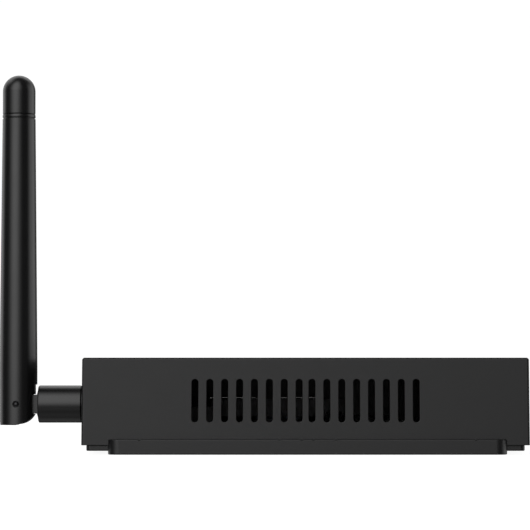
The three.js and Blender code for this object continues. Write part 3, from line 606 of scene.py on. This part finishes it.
DRAFT = 0.2  # how far each wall leans in at the top
WALL = 2.0
CORNER = 0.6
TOP_EDGE = chamfer(0.42, 0.13)
SOCKET_FIT = 0.12  # clearance of each wall hole to its socket
RIM = 0.14  # rounding of the louvres' and sockets' rims
LOUVRE = {"width": 1.67, "height": 11.05, "z": 13.8, "pitch": 3.83, "innermost": 1.65, "per_side": 8}
CARD_SLIT = (11.6, 1.2)
WINDOW_LEDGE = 4.7  # how much smaller the aperture behind the window is than the window
VENT = (2, 16)
CORNERS = ("front_left", "front_right", "rear_left", "rear_right")
CASE_SCREWS = ["case_screw_" + corner for corner in CORNERS]
BOARD_SCREWS = [f"board_screw_{number}" for number in (1, 2, 3, 4)]
FEET = ["foot_" + corner for corner in CORNERS]
CASE_POST = {"radius": 3, "from": 4.1, "pilot": 1.4, "pilot_from": 3, "pilot_to": 12}
COVER = {"corner": 1.2, "top": 2.3, "inside": 108, "lip": 1.3, "lip_top": 4.3, "sink": 0.4}
COVER_POST = {"radius": 4.2, "top": 3.8, "bore": 1.5, "counterbore": 2.8, "counterbore_top": 2.6}
BOARD_POST = {"radius": 2.5, "pilot": 1.1, "pilot_from": 3}
CRADLE = {"corner": 3, "floor": 0.85, "gap": 0.15, "foot_pocket": 4.8}
SEAM_NOTCH = {"half": 0.35, "depth": 0.35, "places": (-43, -7.3, -1.5, 1.5, 7.3, 43)}
DC_CENTRE_Z = 13.2  # the power inlet's mouth isn't at the middle of its body
# The round holes in the rear wall, by the node that they are centred on: the radius and the rim's rounding
ROUND_HOLES = {
    "av_jack": (3.2, 0.25), "reset_plunger": (1.1, 0.25), "dc_jack": (4.05, 0.25), "hinge_pin": (3.7, 0.1),
}


def spread(count, pitch, middle=0.0):
    """Evenly spaced places about a middle."""
    return [middle + (i - (count - 1) / 2) * pitch for i in range(count)]


def louvre_places():
    middle = LOUVRE["innermost"] + (LOUVRE["per_side"] - 1) / 2 * LOUVRE["pitch"]
    return [y for side in (-1, 1) for y in spread(LOUVRE["per_side"], LOUVRE["pitch"], side * middle)]


def wall_hole(node, axis):
    """The hole that a wall has for a socket, a little larger than the socket itself."""
    middle, size = node_middle(node), node_size(node)
    across = 1 if axis == "x" else 0
    opening = (size[across] + 2 * SOCKET_FIT, size.z + 2 * SOCKET_FIT)
    return hole(opening, 0.5, HALF, HALF - WALL - EPS, RIM, axis, (middle[across], middle.z))


def card_holes():
    """The card's slit through the wall, and the pocket behind it that the socket's mouth reaches into."""
    middle, size = node_middle("card_socket"), node_size("card_socket")
    mouth, at, fit = span("card_socket")[1].x, (middle.y, middle.z), 0.1
    slit = hole(CARD_SLIT, 0.3, HALF, mouth - EPS, RIM, "x", at)
    pocket = slab("pocket", (size.y + 2 * fit, size.z + 2 * fit), 0.3, HALF - WALL - EPS, mouth + fit,
                  (0.05, 0.05), "x", at)
    return slit, pocket


def window_holes():
    """The recess that holds the window, and the aperture through the wall behind it."""
    middle, size = node_middle("front_window"), node_size("front_window")
    at = (middle.x, middle.z)
    fit = 0.2
    floor = -HALF + DRAFT + size.y + 0.15
    recess = hole((size.x + 2 * fit, size.z + 2 * fit), 2.1, -HALF, floor, 0.2, "y", at, 10)
    opening = (size.x - WINDOW_LEDGE, size.z - WINDOW_LEDGE)
    return [recess, hole(opening, 0.8, floor, -HALF + WALL + EPS, 0.05, "y", at)]


def round_hole(node):
    """A round hole in the rear wall, centred on a node."""
    radius, rim = ROUND_HOLES[node]
    middle = node_middle(node)
    at = (middle.x, DC_CENTRE_Z if node == "dc_jack" else middle.z)
    return hole(square(2 * radius), radius, HALF, HALF - WALL - EPS, rim, "y", at, 12)


def lean_walls(piece):
    """Tapers the housing a little towards its top, as a moulding that has to leave its tool."""
    for vertex in piece.data.vertices:
        rise = (vertex.co.z - HOUSING_LOW.z) / (HOUSING_HIGH.z - HOUSING_LOW.z)
        scale = 1 - DRAFT / HALF * rise
        vertex.co.x *= scale
        vertex.co.y *= scale


def make_housing():
    """The top and the four walls: a shell with screw posts, louvres, and holes for the sockets and window."""
    width, inner = 2 * HALF, 2 * (HALF - WALL)
    shell = slab("shell", square(width), CORNER, HOUSING_LOW.z, HOUSING_HIGH.z, (0.15, TOP_EDGE))
    room = slab("room", square(inner), 0.6, HOUSING_LOW.z - EPS, HOUSING_HIGH.z - WALL, (0.1, 0.4))
    boolean(shell, [room])
    post, screws = CASE_POST, [node_middle(node)[:2] for node in CASE_SCREWS]
    top = HOUSING_HIGH.z - WALL / 2
    boolean(shell, [rod(post["radius"], post["from"], top, "z", at, 32) for at in screws], "UNION")
    pilots = [rod(post["pilot"], post["pilot_from"], post["pilot_to"], "z", at, 24) for at in screws]
    size, radius = (LOUVRE["width"], LOUVRE["height"]), LOUVRE["width"] / 2
    inside = -HALF + WALL + EPS
    louvres = [hole(size, radius, -HALF, inside, RIM, "x", (y, LOUVRE["z"]), 8) for y in louvre_places()]
    sockets = [wall_hole(node, "y") for node in ("ethernet_socket", "hdmi_socket")]
    sockets += [wall_hole(node, "x") for node in ("usb_socket_rear", "usb_socket_front")]
    slit, pocket = card_holes()
    rounds = [round_hole(node) for node in ROUND_HOLES]
    boolean(shell, [*pilots, *louvres, *sockets, *rounds, *window_holes(), slit])
    boolean(shell, [pocket])
    lean_walls(shell)
    finish(shell, "housing_shell", "case", "housing_plastic", ["upper_housing"])


def make_window():
    middle, size = node_middle("front_window"), node_size("front_window")
    low, high = span("front_window")
    pane = slab("pane", (size.x, size.z), 1.85, low.y, high.y, (0.3, 0.1), "y", (middle.x, middle.z), 10)
    finish(pane, "display_window", "case", "window_acrylic", ["front_window"])


def vents(outside, inside, rim):
    """Cutters for the two rows of vents under the box."""
    places = [(x, y) for y in (-25, 25) for x in spread(9, 6)]
    return [hole(VENT, VENT[0] / 2, outside, inside, rim, "z", at) for at in places]


def make_cover():
    """The plate under the box: a lip that locates it in the housing, posts for the screws, and the vents."""
    low, high = span("bottom_cover")
    top, lip_top, inside = COVER["top"], COVER["lip_top"], COVER["inside"]
    root = top - COVER["sink"]  # the lip and the posts start inside the plate
    width, outside = high.x - low.x, inside + 2 * COVER["lip"]
    plate = slab("plate", square(width), COVER["corner"], low.z, top, (0.3, 0.1))
    lip = slab("lip", square(outside), 0.6, root, lip_top, (0.05, 0.3))
    boolean(lip, [slab("room", square(inside), 0.4, low.z, lip_top + EPS, (0.05, 0.05))])
    boolean(plate, [lip], "UNION")
    screws = [node_middle(node)[:2] for node in CASE_SCREWS]
    board_screws = [node_middle(node)[:2] for node in BOARD_SCREWS]
    posts = [rod(COVER_POST["radius"], root, COVER_POST["top"], "z", at) for at in screws]
    posts += [rod(BOARD_POST["radius"], root, high.z, "z", at) for at in board_screws]
    boolean(plate, posts, "UNION")
    boolean(plate, [rod(COVER_POST["bore"], 0, high.z, "z", at) for at in screws])
    cuts = [rod(COVER_POST["counterbore"], 0, COVER_POST["counterbore_top"], "z", at) for at in screws]
    pilot, pilot_from = BOARD_POST["pilot"], BOARD_POST["pilot_from"]
    cuts += [rod(pilot, pilot_from, high.z + EPS, "z", at) for at in board_screws]
    boolean(plate, cuts + vents(low.z, top + EPS, 0.2))
    finish(plate, "cover_plate", "case", "housing_plastic", ["bottom_cover"])


def make_cradle():
    """The tray that the box sits in: a lip along each side, with small notches, and pockets for the feet."""
    low, high = span("base_cradle")
    size, middle = high - low, (low + high) / 2
    at = (middle.x, middle.y)
    tray = slab("tray", (size.x, size.y), CRADLE["corner"], low.z, high.z, (0.3, 0.3), "z", at, 12)
    inner, floor = HALF + CRADLE["gap"], CRADLE["floor"]
    boolean(tray, [block((-inner, low.y - EPS, floor), (inner, high.y + EPS, high.z + EPS))])
    half, bottom = SEAM_NOTCH["half"], high.z - SEAM_NOTCH["depth"]
    notches = [block((-size.x, middle.y + y - half, bottom), (size.x, middle.y + y + half, high.z + EPS))
               for y in SEAM_NOTCH["places"]]
    radius = CRADLE["foot_pocket"]
    feet = [node_middle(node)[:2] for node in FEET]
    pockets = [hole(square(2 * radius), radius, 0, floor + EPS, 0.2, "z", at, 10) for at in feet]
    boolean(tray, notches + pockets + vents(0, floor + EPS, 0.15))
    finish(tray, "cradle", "case", "cradle_plastic", ["base_cradle"])


def make_feet():
    """Rubber discs with a shallow ring pressed into the face that grips the table."""
    for node in FEET:
        low, high = span(node)
        middle = (low + high) / 2
        radius = (high.x - low.x) / 2
        ring, depth = radius * 0.62, 0.12
        profile = [(0, low.z)] + [(ring + step, low.z + rise) for step, rise in
                                  ((-0.35, 0), (-0.15, depth), (0.15, depth), (0.35, 0))]
        profile += [(radius - inset, low.z + rise) for inset, rise in fillet(0.25)]
        profile += [(radius, high.z), (0, high.z)]
        disc = revolve("disc", profile, "z", (middle.x, middle.y), 64)
        finish(disc, node + "_pad", "case", "foot_rubber", [node])


# ------------------------------------------------------------------ sockets

USB = {"sheet": 0.35, "corner": 0.7, "spring_y": 3.2, "spring_half": 0.8, "tongue_width": 11.1}
USB_TONGUE = (0.35, 2.1)  # how far the tongue's two faces lie over the middle
USB_CONTACTS = (-3.5, -1, 1, 3.5)
HDMI = {"sheet": 0.4, "slope": 1.7, "inner_slope": 1.55, "tongue": (11.2, 1.5), "rise": 0.35, "row": 0.78}
ETHERNET = {"sheet": 0.3, "gap": 0.1, "depth": 13, "light_x": 5.4, "light_z": 11.3}
AV = {"gap": 0.3, "collar": 2.8, "bore": 1.95, "lining": (1.75, 1.93)}  # gap: from the wall to the body
DC = {"bore": 3.15, "pin": 1}


def contact_row(name, places, make):
    """Small brass contacts joined into one piece."""
    finish(joined([make(place) for place in places]), name, "case", "brass")


def usb_spring(x, y, z, inward):
    """One of the bent tabs that press on a plug: x is the mouth, and inward points away from the shell."""
    path = [(x - 8.8, 0), (x - 6, 0.15), (x - 4.6, 0.75), (x - 4, 0.3)]
    lower = [(along, z + inward * rise) for along, rise in path]
    points = lower + [(along, level + inward * 0.2) for along, level in reversed(lower)]
    half = USB["spring_half"]
    rows = [[Vector((along, y + side * half, level)) for along, level in points] for side in (-1, 1)]
    return to_object("spring", skin(rows))


def make_usb(node):
    """A USB socket: a folded shell with spring windows, a tongue with four contacts, and a plastic back."""
    low, high = span(node)
    middle, size = node_middle(node), node_size(node)
    at, wide, tall = (middle.y, middle.z), size.y, size.z
    sheet, corner = USB["sheet"], USB["corner"]
    inner_wide, inner_tall = wide - 2 * sheet, tall - 2 * sheet
    shell = slab("shell", (wide, tall), corner, low.x + 0.6, high.x, (0.1, 0.15), "x", at)
    boolean(shell, [hole((inner_wide, inner_tall), 0.4, high.x, low.x - EPS, 0.15, "x", at)])
    spring_ys = [middle.y + side * USB["spring_y"] for side in (-1, 1)]
    boolean(shell, [block((high.x - 9, y - 1, z - 0.8), (high.x - 3.6, y + 1, z + 0.8))
                    for z in (low.z, high.z) for y in spring_ys])
    behind = HALF - WALL  # the wall's inner face, where a collar closes the gap round the shell
    collar = slab("collar", (wide + 1.6, tall + 1.6), 1.2, behind - 0.5, behind - 0.1, (0.05, 0.05), "x", at)
    bore = slab("bore", (wide + 0.04, tall + 0.04), 0.72, HALF - 4, HALF, (0.05, 0.05), "x", at)
    boolean(collar, [bore])
    finish(collar, node + "_collar", "case", "contact_plastic")
    finish(shell, node + "_shell", "case", "socket_steel", [node])
    springs = [usb_spring(high.x, y, z, inward)
               for z, inward in ((low.z + sheet / 2, 1), (high.z - sheet / 2, -1)) for y in spring_ys]
    finish(joined(springs), node + "_springs", "case", "socket_steel")
    back_size = (inner_wide - 0.06, inner_tall - 0.06)
    back = slab("back", back_size, 0.4, low.x + 0.3, low.x + 3, (0.05, 0.1), "x", at)
    boolean(back, [slab("heel", (wide, tall), corner, low.x, low.x + 0.55, (0.2, 0.1), "x", at)], "UNION")
    bottom, top = (middle.z + rise for rise in USB_TONGUE)
    size, place = (USB["tongue_width"], top - bottom), (middle.y, (bottom + top) / 2)
    tongue = slab("tongue", size, 0.3, low.x + 2, high.x - 1.2, (0.05, 0.35), "x", place)
    boolean(back, [tongue], "UNION")
    finish(back, node + "_insulator", "case", "contact_plastic")

    def contact(y):
        place = (middle.y + y, bottom - 0.02)
        return slab("contact", (1, 0.24), 0.1, low.x + 3.1, high.x - 2, (0.02, 0.1), "x", place, 2)

    contact_row(node + "_contacts", USB_CONTACTS, contact)


def make_hdmi():
    """A video socket: a D-shaped folded shell round a tongue with its two rows of contacts."""
    node = "hdmi_socket"
    low, high = span(node)
    middle, size = node_middle(node), node_size(node)
    at = (middle.x, middle.z)

    def outline(inset, slope):
        x, z = size.x / 2 - inset, size.z / 2 - inset
        return [(-x, z), (-x, -z + slope), (-x + slope, -z), (x - slope, -z), (x, -z + slope), (x, z)]

    shell = prism("shell", outline(0, HDMI["slope"]), low.y, high.y, "y", at)
    mouth = prism("mouth", outline(HDMI["sheet"], HDMI["inner_slope"]), low.y + 1.5, high.y + EPS, "y", at)
    boolean(shell, [mouth])
    soften(shell, 0.12)
    finish(shell, "hdmi_shell", "case", "socket_steel", [node])
    tongue_z = middle.z + HDMI["rise"]
    place = (middle.x, tongue_z)
    tongue = slab("tongue", HDMI["tongue"], 0.25, low.y + 1.7, high.y - 1.6, (0.05, 0.25), "y", place)
    back = slab("back", (size.x - 4.6, size.z - 1.4), 0.3, low.y + 1.6, low.y + 3.4, (0.05, 0.1), "y", at)
    boolean(back, [tongue], "UNION")
    finish(back, "hdmi_insulator", "case", "contact_plastic")

    def contact(place):
        x, side = place
        where = (middle.x + x, tongue_z + side * HDMI["row"])
        return slab("contact", (0.4, 0.12), 0.05, low.y + 3.5, high.y - 2.2, (0.01, 0.05), "y", where, 1)

    places = [(x, side) for side in (-1, 1) for x in spread(9, 1.0, 0.25 * side)]
    contact_row("hdmi_contacts", places, contact)


def make_ethernet():
    """A network socket: a plated can, a plastic insert with a stepped mouth, eight wires and two lights."""
    node = "ethernet_socket"
    low, high = span(node)
    middle, size = node_middle(node), node_size(node)
    at, sheet, gap = (middle.x, middle.z), ETHERNET["sheet"], ETHERNET["gap"]
    can = slab("can", (size.x, size.z), 0.5, low.y, high.y, (0.1, 0.15), "y", at)
    boolean(can, [hole((size.x - 2 * sheet, size.z - 2 * sheet), 0.3, high.y, low.y + 1, 0.1, "y", at)])
    finish(can, "ethernet_can", "case", "socket_steel", [node])
    back = high.y - ETHERNET["depth"]
    inside = (size.x - 2 * (sheet + gap), size.z - 2 * (sheet + gap))
    insert = slab("insert", inside, 0.3, low.y + 1.2, high.y - 0.3, (0.05, 0.1), "y", at)

    def opening(x, half, depth, bottom, top):
        """A cutter for one part of the mouth; bottom and top are heights over the socket's underside."""
        return block((x - half, depth, low.z + bottom), (x + half, high.y + EPS, low.z + top))

    light_xs = [middle.x + side * ETHERNET["light_x"] for side in (-1, 1)]
    boolean(insert, [opening(middle.x, 5.95, back, 2.9, 9.9)])
    boolean(insert, [opening(middle.x, 3.1, back, 9, 12.1)])
    boolean(insert, [opening(x, 1.3, high.y - 1.5, 10.4, 12.2) for x in light_xs])
    soften(insert, 0.12)
    finish(insert, "ethernet_insert", "case", "contact_plastic")
    for name, x in zip(("left", "right"), light_xs):
        place = (x, low.z + ETHERNET["light_z"])
        lens = slab("lens", (2.4, 1.6), 0.3, high.y - 1.4, high.y - 0.35, (0.05, 0.2), "y", place, 4)
        finish(lens, f"ethernet_light_{name}", "case", "led_lens")

    def wire(x):
        path = [(0.4, 3.05), (9, 3.05), (9.2, 3.4), (2, 6)]
        section = ((-0.17, -0.12), (0.17, -0.12), (0.17, 0.12), (-0.17, 0.12))
        return to_object("wire", skin([
            [Vector((middle.x + x + dx, back + y, low.z + z + dz)) for dx, dz in section] for y, z in path
        ]))

    contact_row("ethernet_contacts", spread(8, 1.02), wire)


def make_card_slot():
    """A memory-card socket: a thin can with a bevelled mouth, and a plastic heel behind it."""
    node = "card_socket"
    low, high = span(node)
    middle, size = node_middle(node), node_size(node)
    at, outline = (middle.y, middle.z), (size.y, size.z)
    can = slab("can", outline, 0.3, low.x + 1.2, high.x, (0.08, 0.08), "x", at)
    boolean(can, [hole((11.4, 1.1), 0.2, high.x, low.x + 2, 0.2, "x", at)])
    heel = slab("heel", outline, 0.3, low.x, low.x + 1.14, (0.15, 0.05), "x", at)
    finish(heel, "card_heel", "case", "contact_plastic")
    finish(can, "card_can", "case", "socket_steel", [node])


def make_av_jack():
    """The round audio and video jack: a moulded body with a collar and a plated lining."""
    node = "av_jack"
    low, high = span(node)
    middle, size = node_middle(node), node_size(node)
    at, collar, bore = (middle.x, middle.z), AV["collar"], AV["bore"]
    face = HALF - WALL - AV["gap"]
    body = slab("body", (size.x, size.z), 0.4, low.y, face, (0.15, 0.15), "y", at)
    neck = slab("collar", square(2 * collar), collar, face - EPS, high.y, (0.05, 0.3), "y", at, 12)
    boolean(body, [neck], "UNION")
    boolean(body, [hole(square(2 * bore), bore, high.y, low.y + 1.4, 0.3, "y", at, 12)])
    finish(body, "av_body", "case", "contact_plastic", [node])
    inner, outer = AV["lining"]
    start, end = low.y + 3, high.y - 1.2
    section = [(inner, start), (outer, start), (outer, end), (inner, end)]
    finish(revolve("lining", section, "y", at, 48, True), "av_lining", "case", "socket_steel")


def make_dc_jack():
    """The power inlet: a moulded body with a round mouth and a centre pin."""
    node = "dc_jack"
    low, high = span(node)
    middle, size = node_middle(node), node_size(node)
    at, bore, pin = (middle.x, DC_CENTRE_Z), DC["bore"], DC["pin"]
    body = slab("body", (size.x, size.z), 0.5, low.y, high.y, (0.2, 0.2), "y", (middle.x, middle.z))
    boolean(body, [hole(square(2 * bore), bore, high.y, low.y + 2.5, 0.3, "y", at, 14)])
    finish(body, "dc_body", "case", "contact_plastic", [node])
    root, tip = low.y + 2.6, high.y - 0.8
    nose = [(pin, tip - 0.5), (0.85 * pin, tip - 0.15), (0.5 * pin, tip), (0, tip)]
    finish(revolve("pin", [(0, root), (pin, root), *nose], "y", at, 40), "dc_pin", "case", "screw_steel")


# ------------------------------------------------------------------ the aerial

PIN = joint_point("antenna_tilt")
AERIAL_SIDES = 128
AERIAL_AXIS = (PIN.x, PIN.y - 0.27)  # the aerial's own axis lies a little nearer to the box than the pin
BARREL_END = PIN.y - 5.6
BUSHING_FACE = span("wall_bushing")[1].y
# Heights and depths here are from the pin
SLEEVE = {"base": 4.95, "top": 4.3, "taper_from": 9, "bore": 2.75, "bore_from": 6.2}
GROOVE = {"z": 74.85, "half": 0.15, "depth": 0.24, "ease": 0.05}
FORK = {"slot": 1.75, "depth": 3.3, "relief": -4.75, "flat": -4.68, "flat_top": 5.1, "swing": 5.3}
NOTCH = {"depth": 0.6, "half": 2.55}
PIN_HOLE = 0.9
CAP = {"seam": 75.95, "plug": 2.45}
TONGUE = {"half": 1.45, "height": 2.45, "nose": 2.9, "flare_from": 5.05, "flare_half": 4.4, "bend": 2.2}
BARREL = {"stem": 1.9, "gap": 0.07, "edge": 0.4}
BUSHING = {"neck": 3.4, "flange": 4.82, "bore": 2.2, "gap": 0.12}  # gap: from the wall to the flange
THREAD = {"depth": 0.12, "pitch": 0.45, "turns": 16}
HINGE_PIN = {"shank": 0.86, "dome": 0.3, "head": 1.2}


def from_pin(x, y, z):
    return (PIN.x + x, PIN.y + y, PIN.z + z)


def across_pin(radius, half, sides=48):
    """A rod along the hinge pin's line, for cutting with."""
    return rod(radius, PIN.x - half, PIN.x + half, "x", (PIN.y, PIN.z), sides)


def make_sleeve():
    """A tapering tube with a groove near its top. Its foot is a fork with a flat side and a rounded corner."""
    low, high = span("antenna_sleeve")
    bottom, top = low.z - PIN.z, high.z - PIN.z
    base, narrow, taper_from = SLEEVE["base"], SLEEVE["top"], SLEEVE["taper_from"]
    slope = (base - narrow) / (top - taper_from)
    wall = lambda z: base - slope * max(0, z - taper_from)
    profile = [(0, bottom), (base - 0.2, bottom), (base - 0.06, bottom + 0.06), (base, bottom + 0.2)]
    profile += [(wall(z), z) for z in (taper_from, 20, 40, 60)]
    middle, half, ease = GROOVE["z"], GROOVE["half"], GROOVE["ease"]
    rim = wall(middle)
    floor = rim - GROOVE["depth"]
    profile += [(rim, middle - half - 0.06), (rim - ease, middle - half), (floor, middle - half / 2),
                (floor, middle + half / 2), (rim - ease, middle + half), (rim, middle + half + 0.06)]
    profile += [(narrow, top - 0.12), (narrow - 0.04, top - 0.03), (narrow - 0.12, top), (0, top)]
    profile = [(radius, PIN.z + z) for radius, z in profile]
    sleeve = revolve("sleeve", profile, "z", AERIAL_AXIS, AERIAL_SIDES)
    boolean(sleeve, [rod(SLEEVE["bore"], PIN.z + SLEEVE["bore_from"], high.z + 1, "z", AERIAL_AXIS)])
    far = 12
    slot, depth, flat, notch = FORK["slot"], FORK["depth"], FORK["flat"], NOTCH["half"]
    corner = block(from_pin(-far, -far, -far), from_pin(far, 0, 0))
    boolean(corner, [across_pin(FORK["swing"], far + 1, 96)])
    for cutter in (
        block(from_pin(-slot, -far, -far), from_pin(slot, depth, depth)),
        block(from_pin(-slot, 0, -far), from_pin(slot, far, FORK["relief"])),
        block(from_pin(-far, -far, -far), from_pin(far, flat, FORK["flat_top"])),
        block(from_pin(-far, -far, -notch), from_pin(far, flat + NOTCH["depth"], notch)),
        corner,
    ):
        boolean(sleeve, [cutter])
    soften(sleeve, 0.1, 40)
    boolean(sleeve, [across_pin(PIN_HOLE, far)])
    finish(sleeve, "aerial_sleeve", "antenna_arm", "aerial_plastic", ["antenna_sleeve"])


def make_cap():
    """The domed tip, with a plug that sits in the sleeve."""
    low, high = span("antenna_cap")
    radius = (high.x - low.x) / 2
    seam, plug, centre, steps = PIN.z + CAP["seam"], CAP["plug"], high.z - radius, 24
    profile = [(0, low.z), (plug - 0.1, low.z), (plug, low.z + 0.1), (plug, seam), (radius - 0.12, seam),
               (radius - 0.04, seam + 0.03), (radius, seam + 0.12)]
    for i in range(steps + 1):
        angle = math.pi / 2 * i / steps
        profile.append((radius * math.cos(angle) if i < steps else 0, centre + radius * math.sin(angle)))
    cap = revolve("cap", profile, "z", AERIAL_AXIS, AERIAL_SIDES)
    finish(cap, "aerial_cap", "antenna_arm", "aerial_plastic", ["antenna_cap"])


def tongue_outline():
    """The tongue's side outline: a round nose about the pin and a root that flares into the barrel."""
    height, nose = TONGUE["height"], TONGUE["nose"]
    flare_from, flare_half, root = TONGUE["flare_from"], TONGUE["flare_half"], PIN.y - BARREL_END
    nose_angle = math.asin(height / nose)
    steps, turns = 8, 40
    flare = []
    for i in range(steps + 1):  # from the barrel's rim down to the tongue's lower edge
        t = i / steps
        z = -height - (flare_half - height) * (1 - t) ** TONGUE["bend"]
        flare.append((-root + (root - flare_from) * t, z))
    angles = [-math.pi + nose_angle + 2 * (math.pi - nose_angle) * i / turns for i in range(turns + 1)]
    points = flare + [(nose * math.cos(angle), nose * math.sin(angle)) for angle in angles]
    points += [(y, -z) for y, z in reversed(flare)]
    return [(-root - EPS, -flare_half)] + points + [(-root - EPS, flare_half)]


def make_barrel():
    """The barrel that turns in the rear wall: a stem, a drum with a rounded end, and the hinge's tongue."""
    low, high = span("swivel_barrel")
    radius, start = (high.x - low.x) / 2, BUSHING_FACE + BARREL["gap"]
    stem, half = BARREL["stem"], TONGUE["half"]
    profile = [(0, low.y), (stem, low.y), (stem, start), (radius - 0.2, start), (radius, start + 0.2)]
    profile += [(radius - inset, BARREL_END - depth) for inset, depth in reversed(fillet(BARREL["edge"], 6))]
    profile += [(0, BARREL_END)]
    barrel = revolve("barrel", profile, "y", (PIN.x, PIN.z), AERIAL_SIDES)
    tongue = prism("tongue", tongue_outline(), PIN.x - half, PIN.x + half, "x", (PIN.y, PIN.z))
    soften(tongue, 0.12, 40)
    boolean(barrel, [tongue], "UNION")
    boolean(barrel, [across_pin(PIN_HOLE, 3)])
    finish(barrel, "swivel_body", "antenna_swivel", "aerial_plastic", ["swivel_barrel"])


def make_bushing():
    """The threaded neck through the rear wall, with the flange that the barrel turns against."""
    low, high = span("wall_bushing")
    neck, flange, bore = BUSHING["neck"], BUSHING["flange"], BUSHING["bore"]
    face = HALF + BUSHING["gap"]
    profile = [(bore, low.y), (neck - 0.3, low.y)]
    for turn in range(THREAD["turns"]):
        y = low.y + 0.3 + THREAD["pitch"] * turn
        profile += [(neck - THREAD["depth"], y), (neck, y + 0.15)]
    profile += [(neck, face), (flange - 0.1, face), (flange, face + 0.1), (flange, high.y - 0.12),
                (flange - 0.12, high.y), (bore, high.y)]
    bushing = revolve("bushing", profile, "y", (PIN.x, PIN.z), AERIAL_SIDES, True)
    finish(bushing, "aerial_bushing", "case", "aerial_plastic", ["wall_bushing"])


def make_hinge_pin():
    """The pin: a shank that nearly fills its hole, and a narrower head with a low dome at each end."""
    low, high = span("hinge_pin")
    radius, steps = (high.y - low.y) / 2, 8
    shank, dome, head = HINGE_PIN["shank"], HINGE_PIN["dome"], HINGE_PIN["head"]
    turns = [math.pi / 2 * i / steps for i in range(steps)]
    arc = [(radius * math.cos(t), dome * math.sin(t)) for t in turns] + [(0, dome)]
    profile = [(r, low.x + dome - h) for r, h in reversed(arc)]
    profile += [(radius, low.x + head), (shank, low.x + head), (shank, high.x - head), (radius, high.x - head)]
    profile += [(r, high.x - dome + h) for r, h in arc]
    pin = revolve("pin", profile, "x", (PIN.y, PIN.z), 48)
    finish(pin, "aerial_pin", "antenna_arm", "pin_steel", ["hinge_pin"])


# ------------------------------------------------------------------ putting it together

make_camera()
make_studio()
LOOKS = {name: make(name, *settings) for name, (make, *settings) in LOOK_TABLE.items()}

make_housing()
make_window()
make_cover()
make_cradle()
make_feet()
for socket in ("usb_socket_rear", "usb_socket_front"):
    make_usb(socket)
make_hdmi()
make_ethernet()
make_card_slot()
make_av_jack()
make_dc_jack()
make_sleeve()
make_cap()
make_barrel()
make_bushing()
make_hinge_pin()

for part in frame["record"]["subparts"]:
    node = frame["nodes"][part["node"]]
    if not node.hide_render:
        dress(node, part["material_slot"])
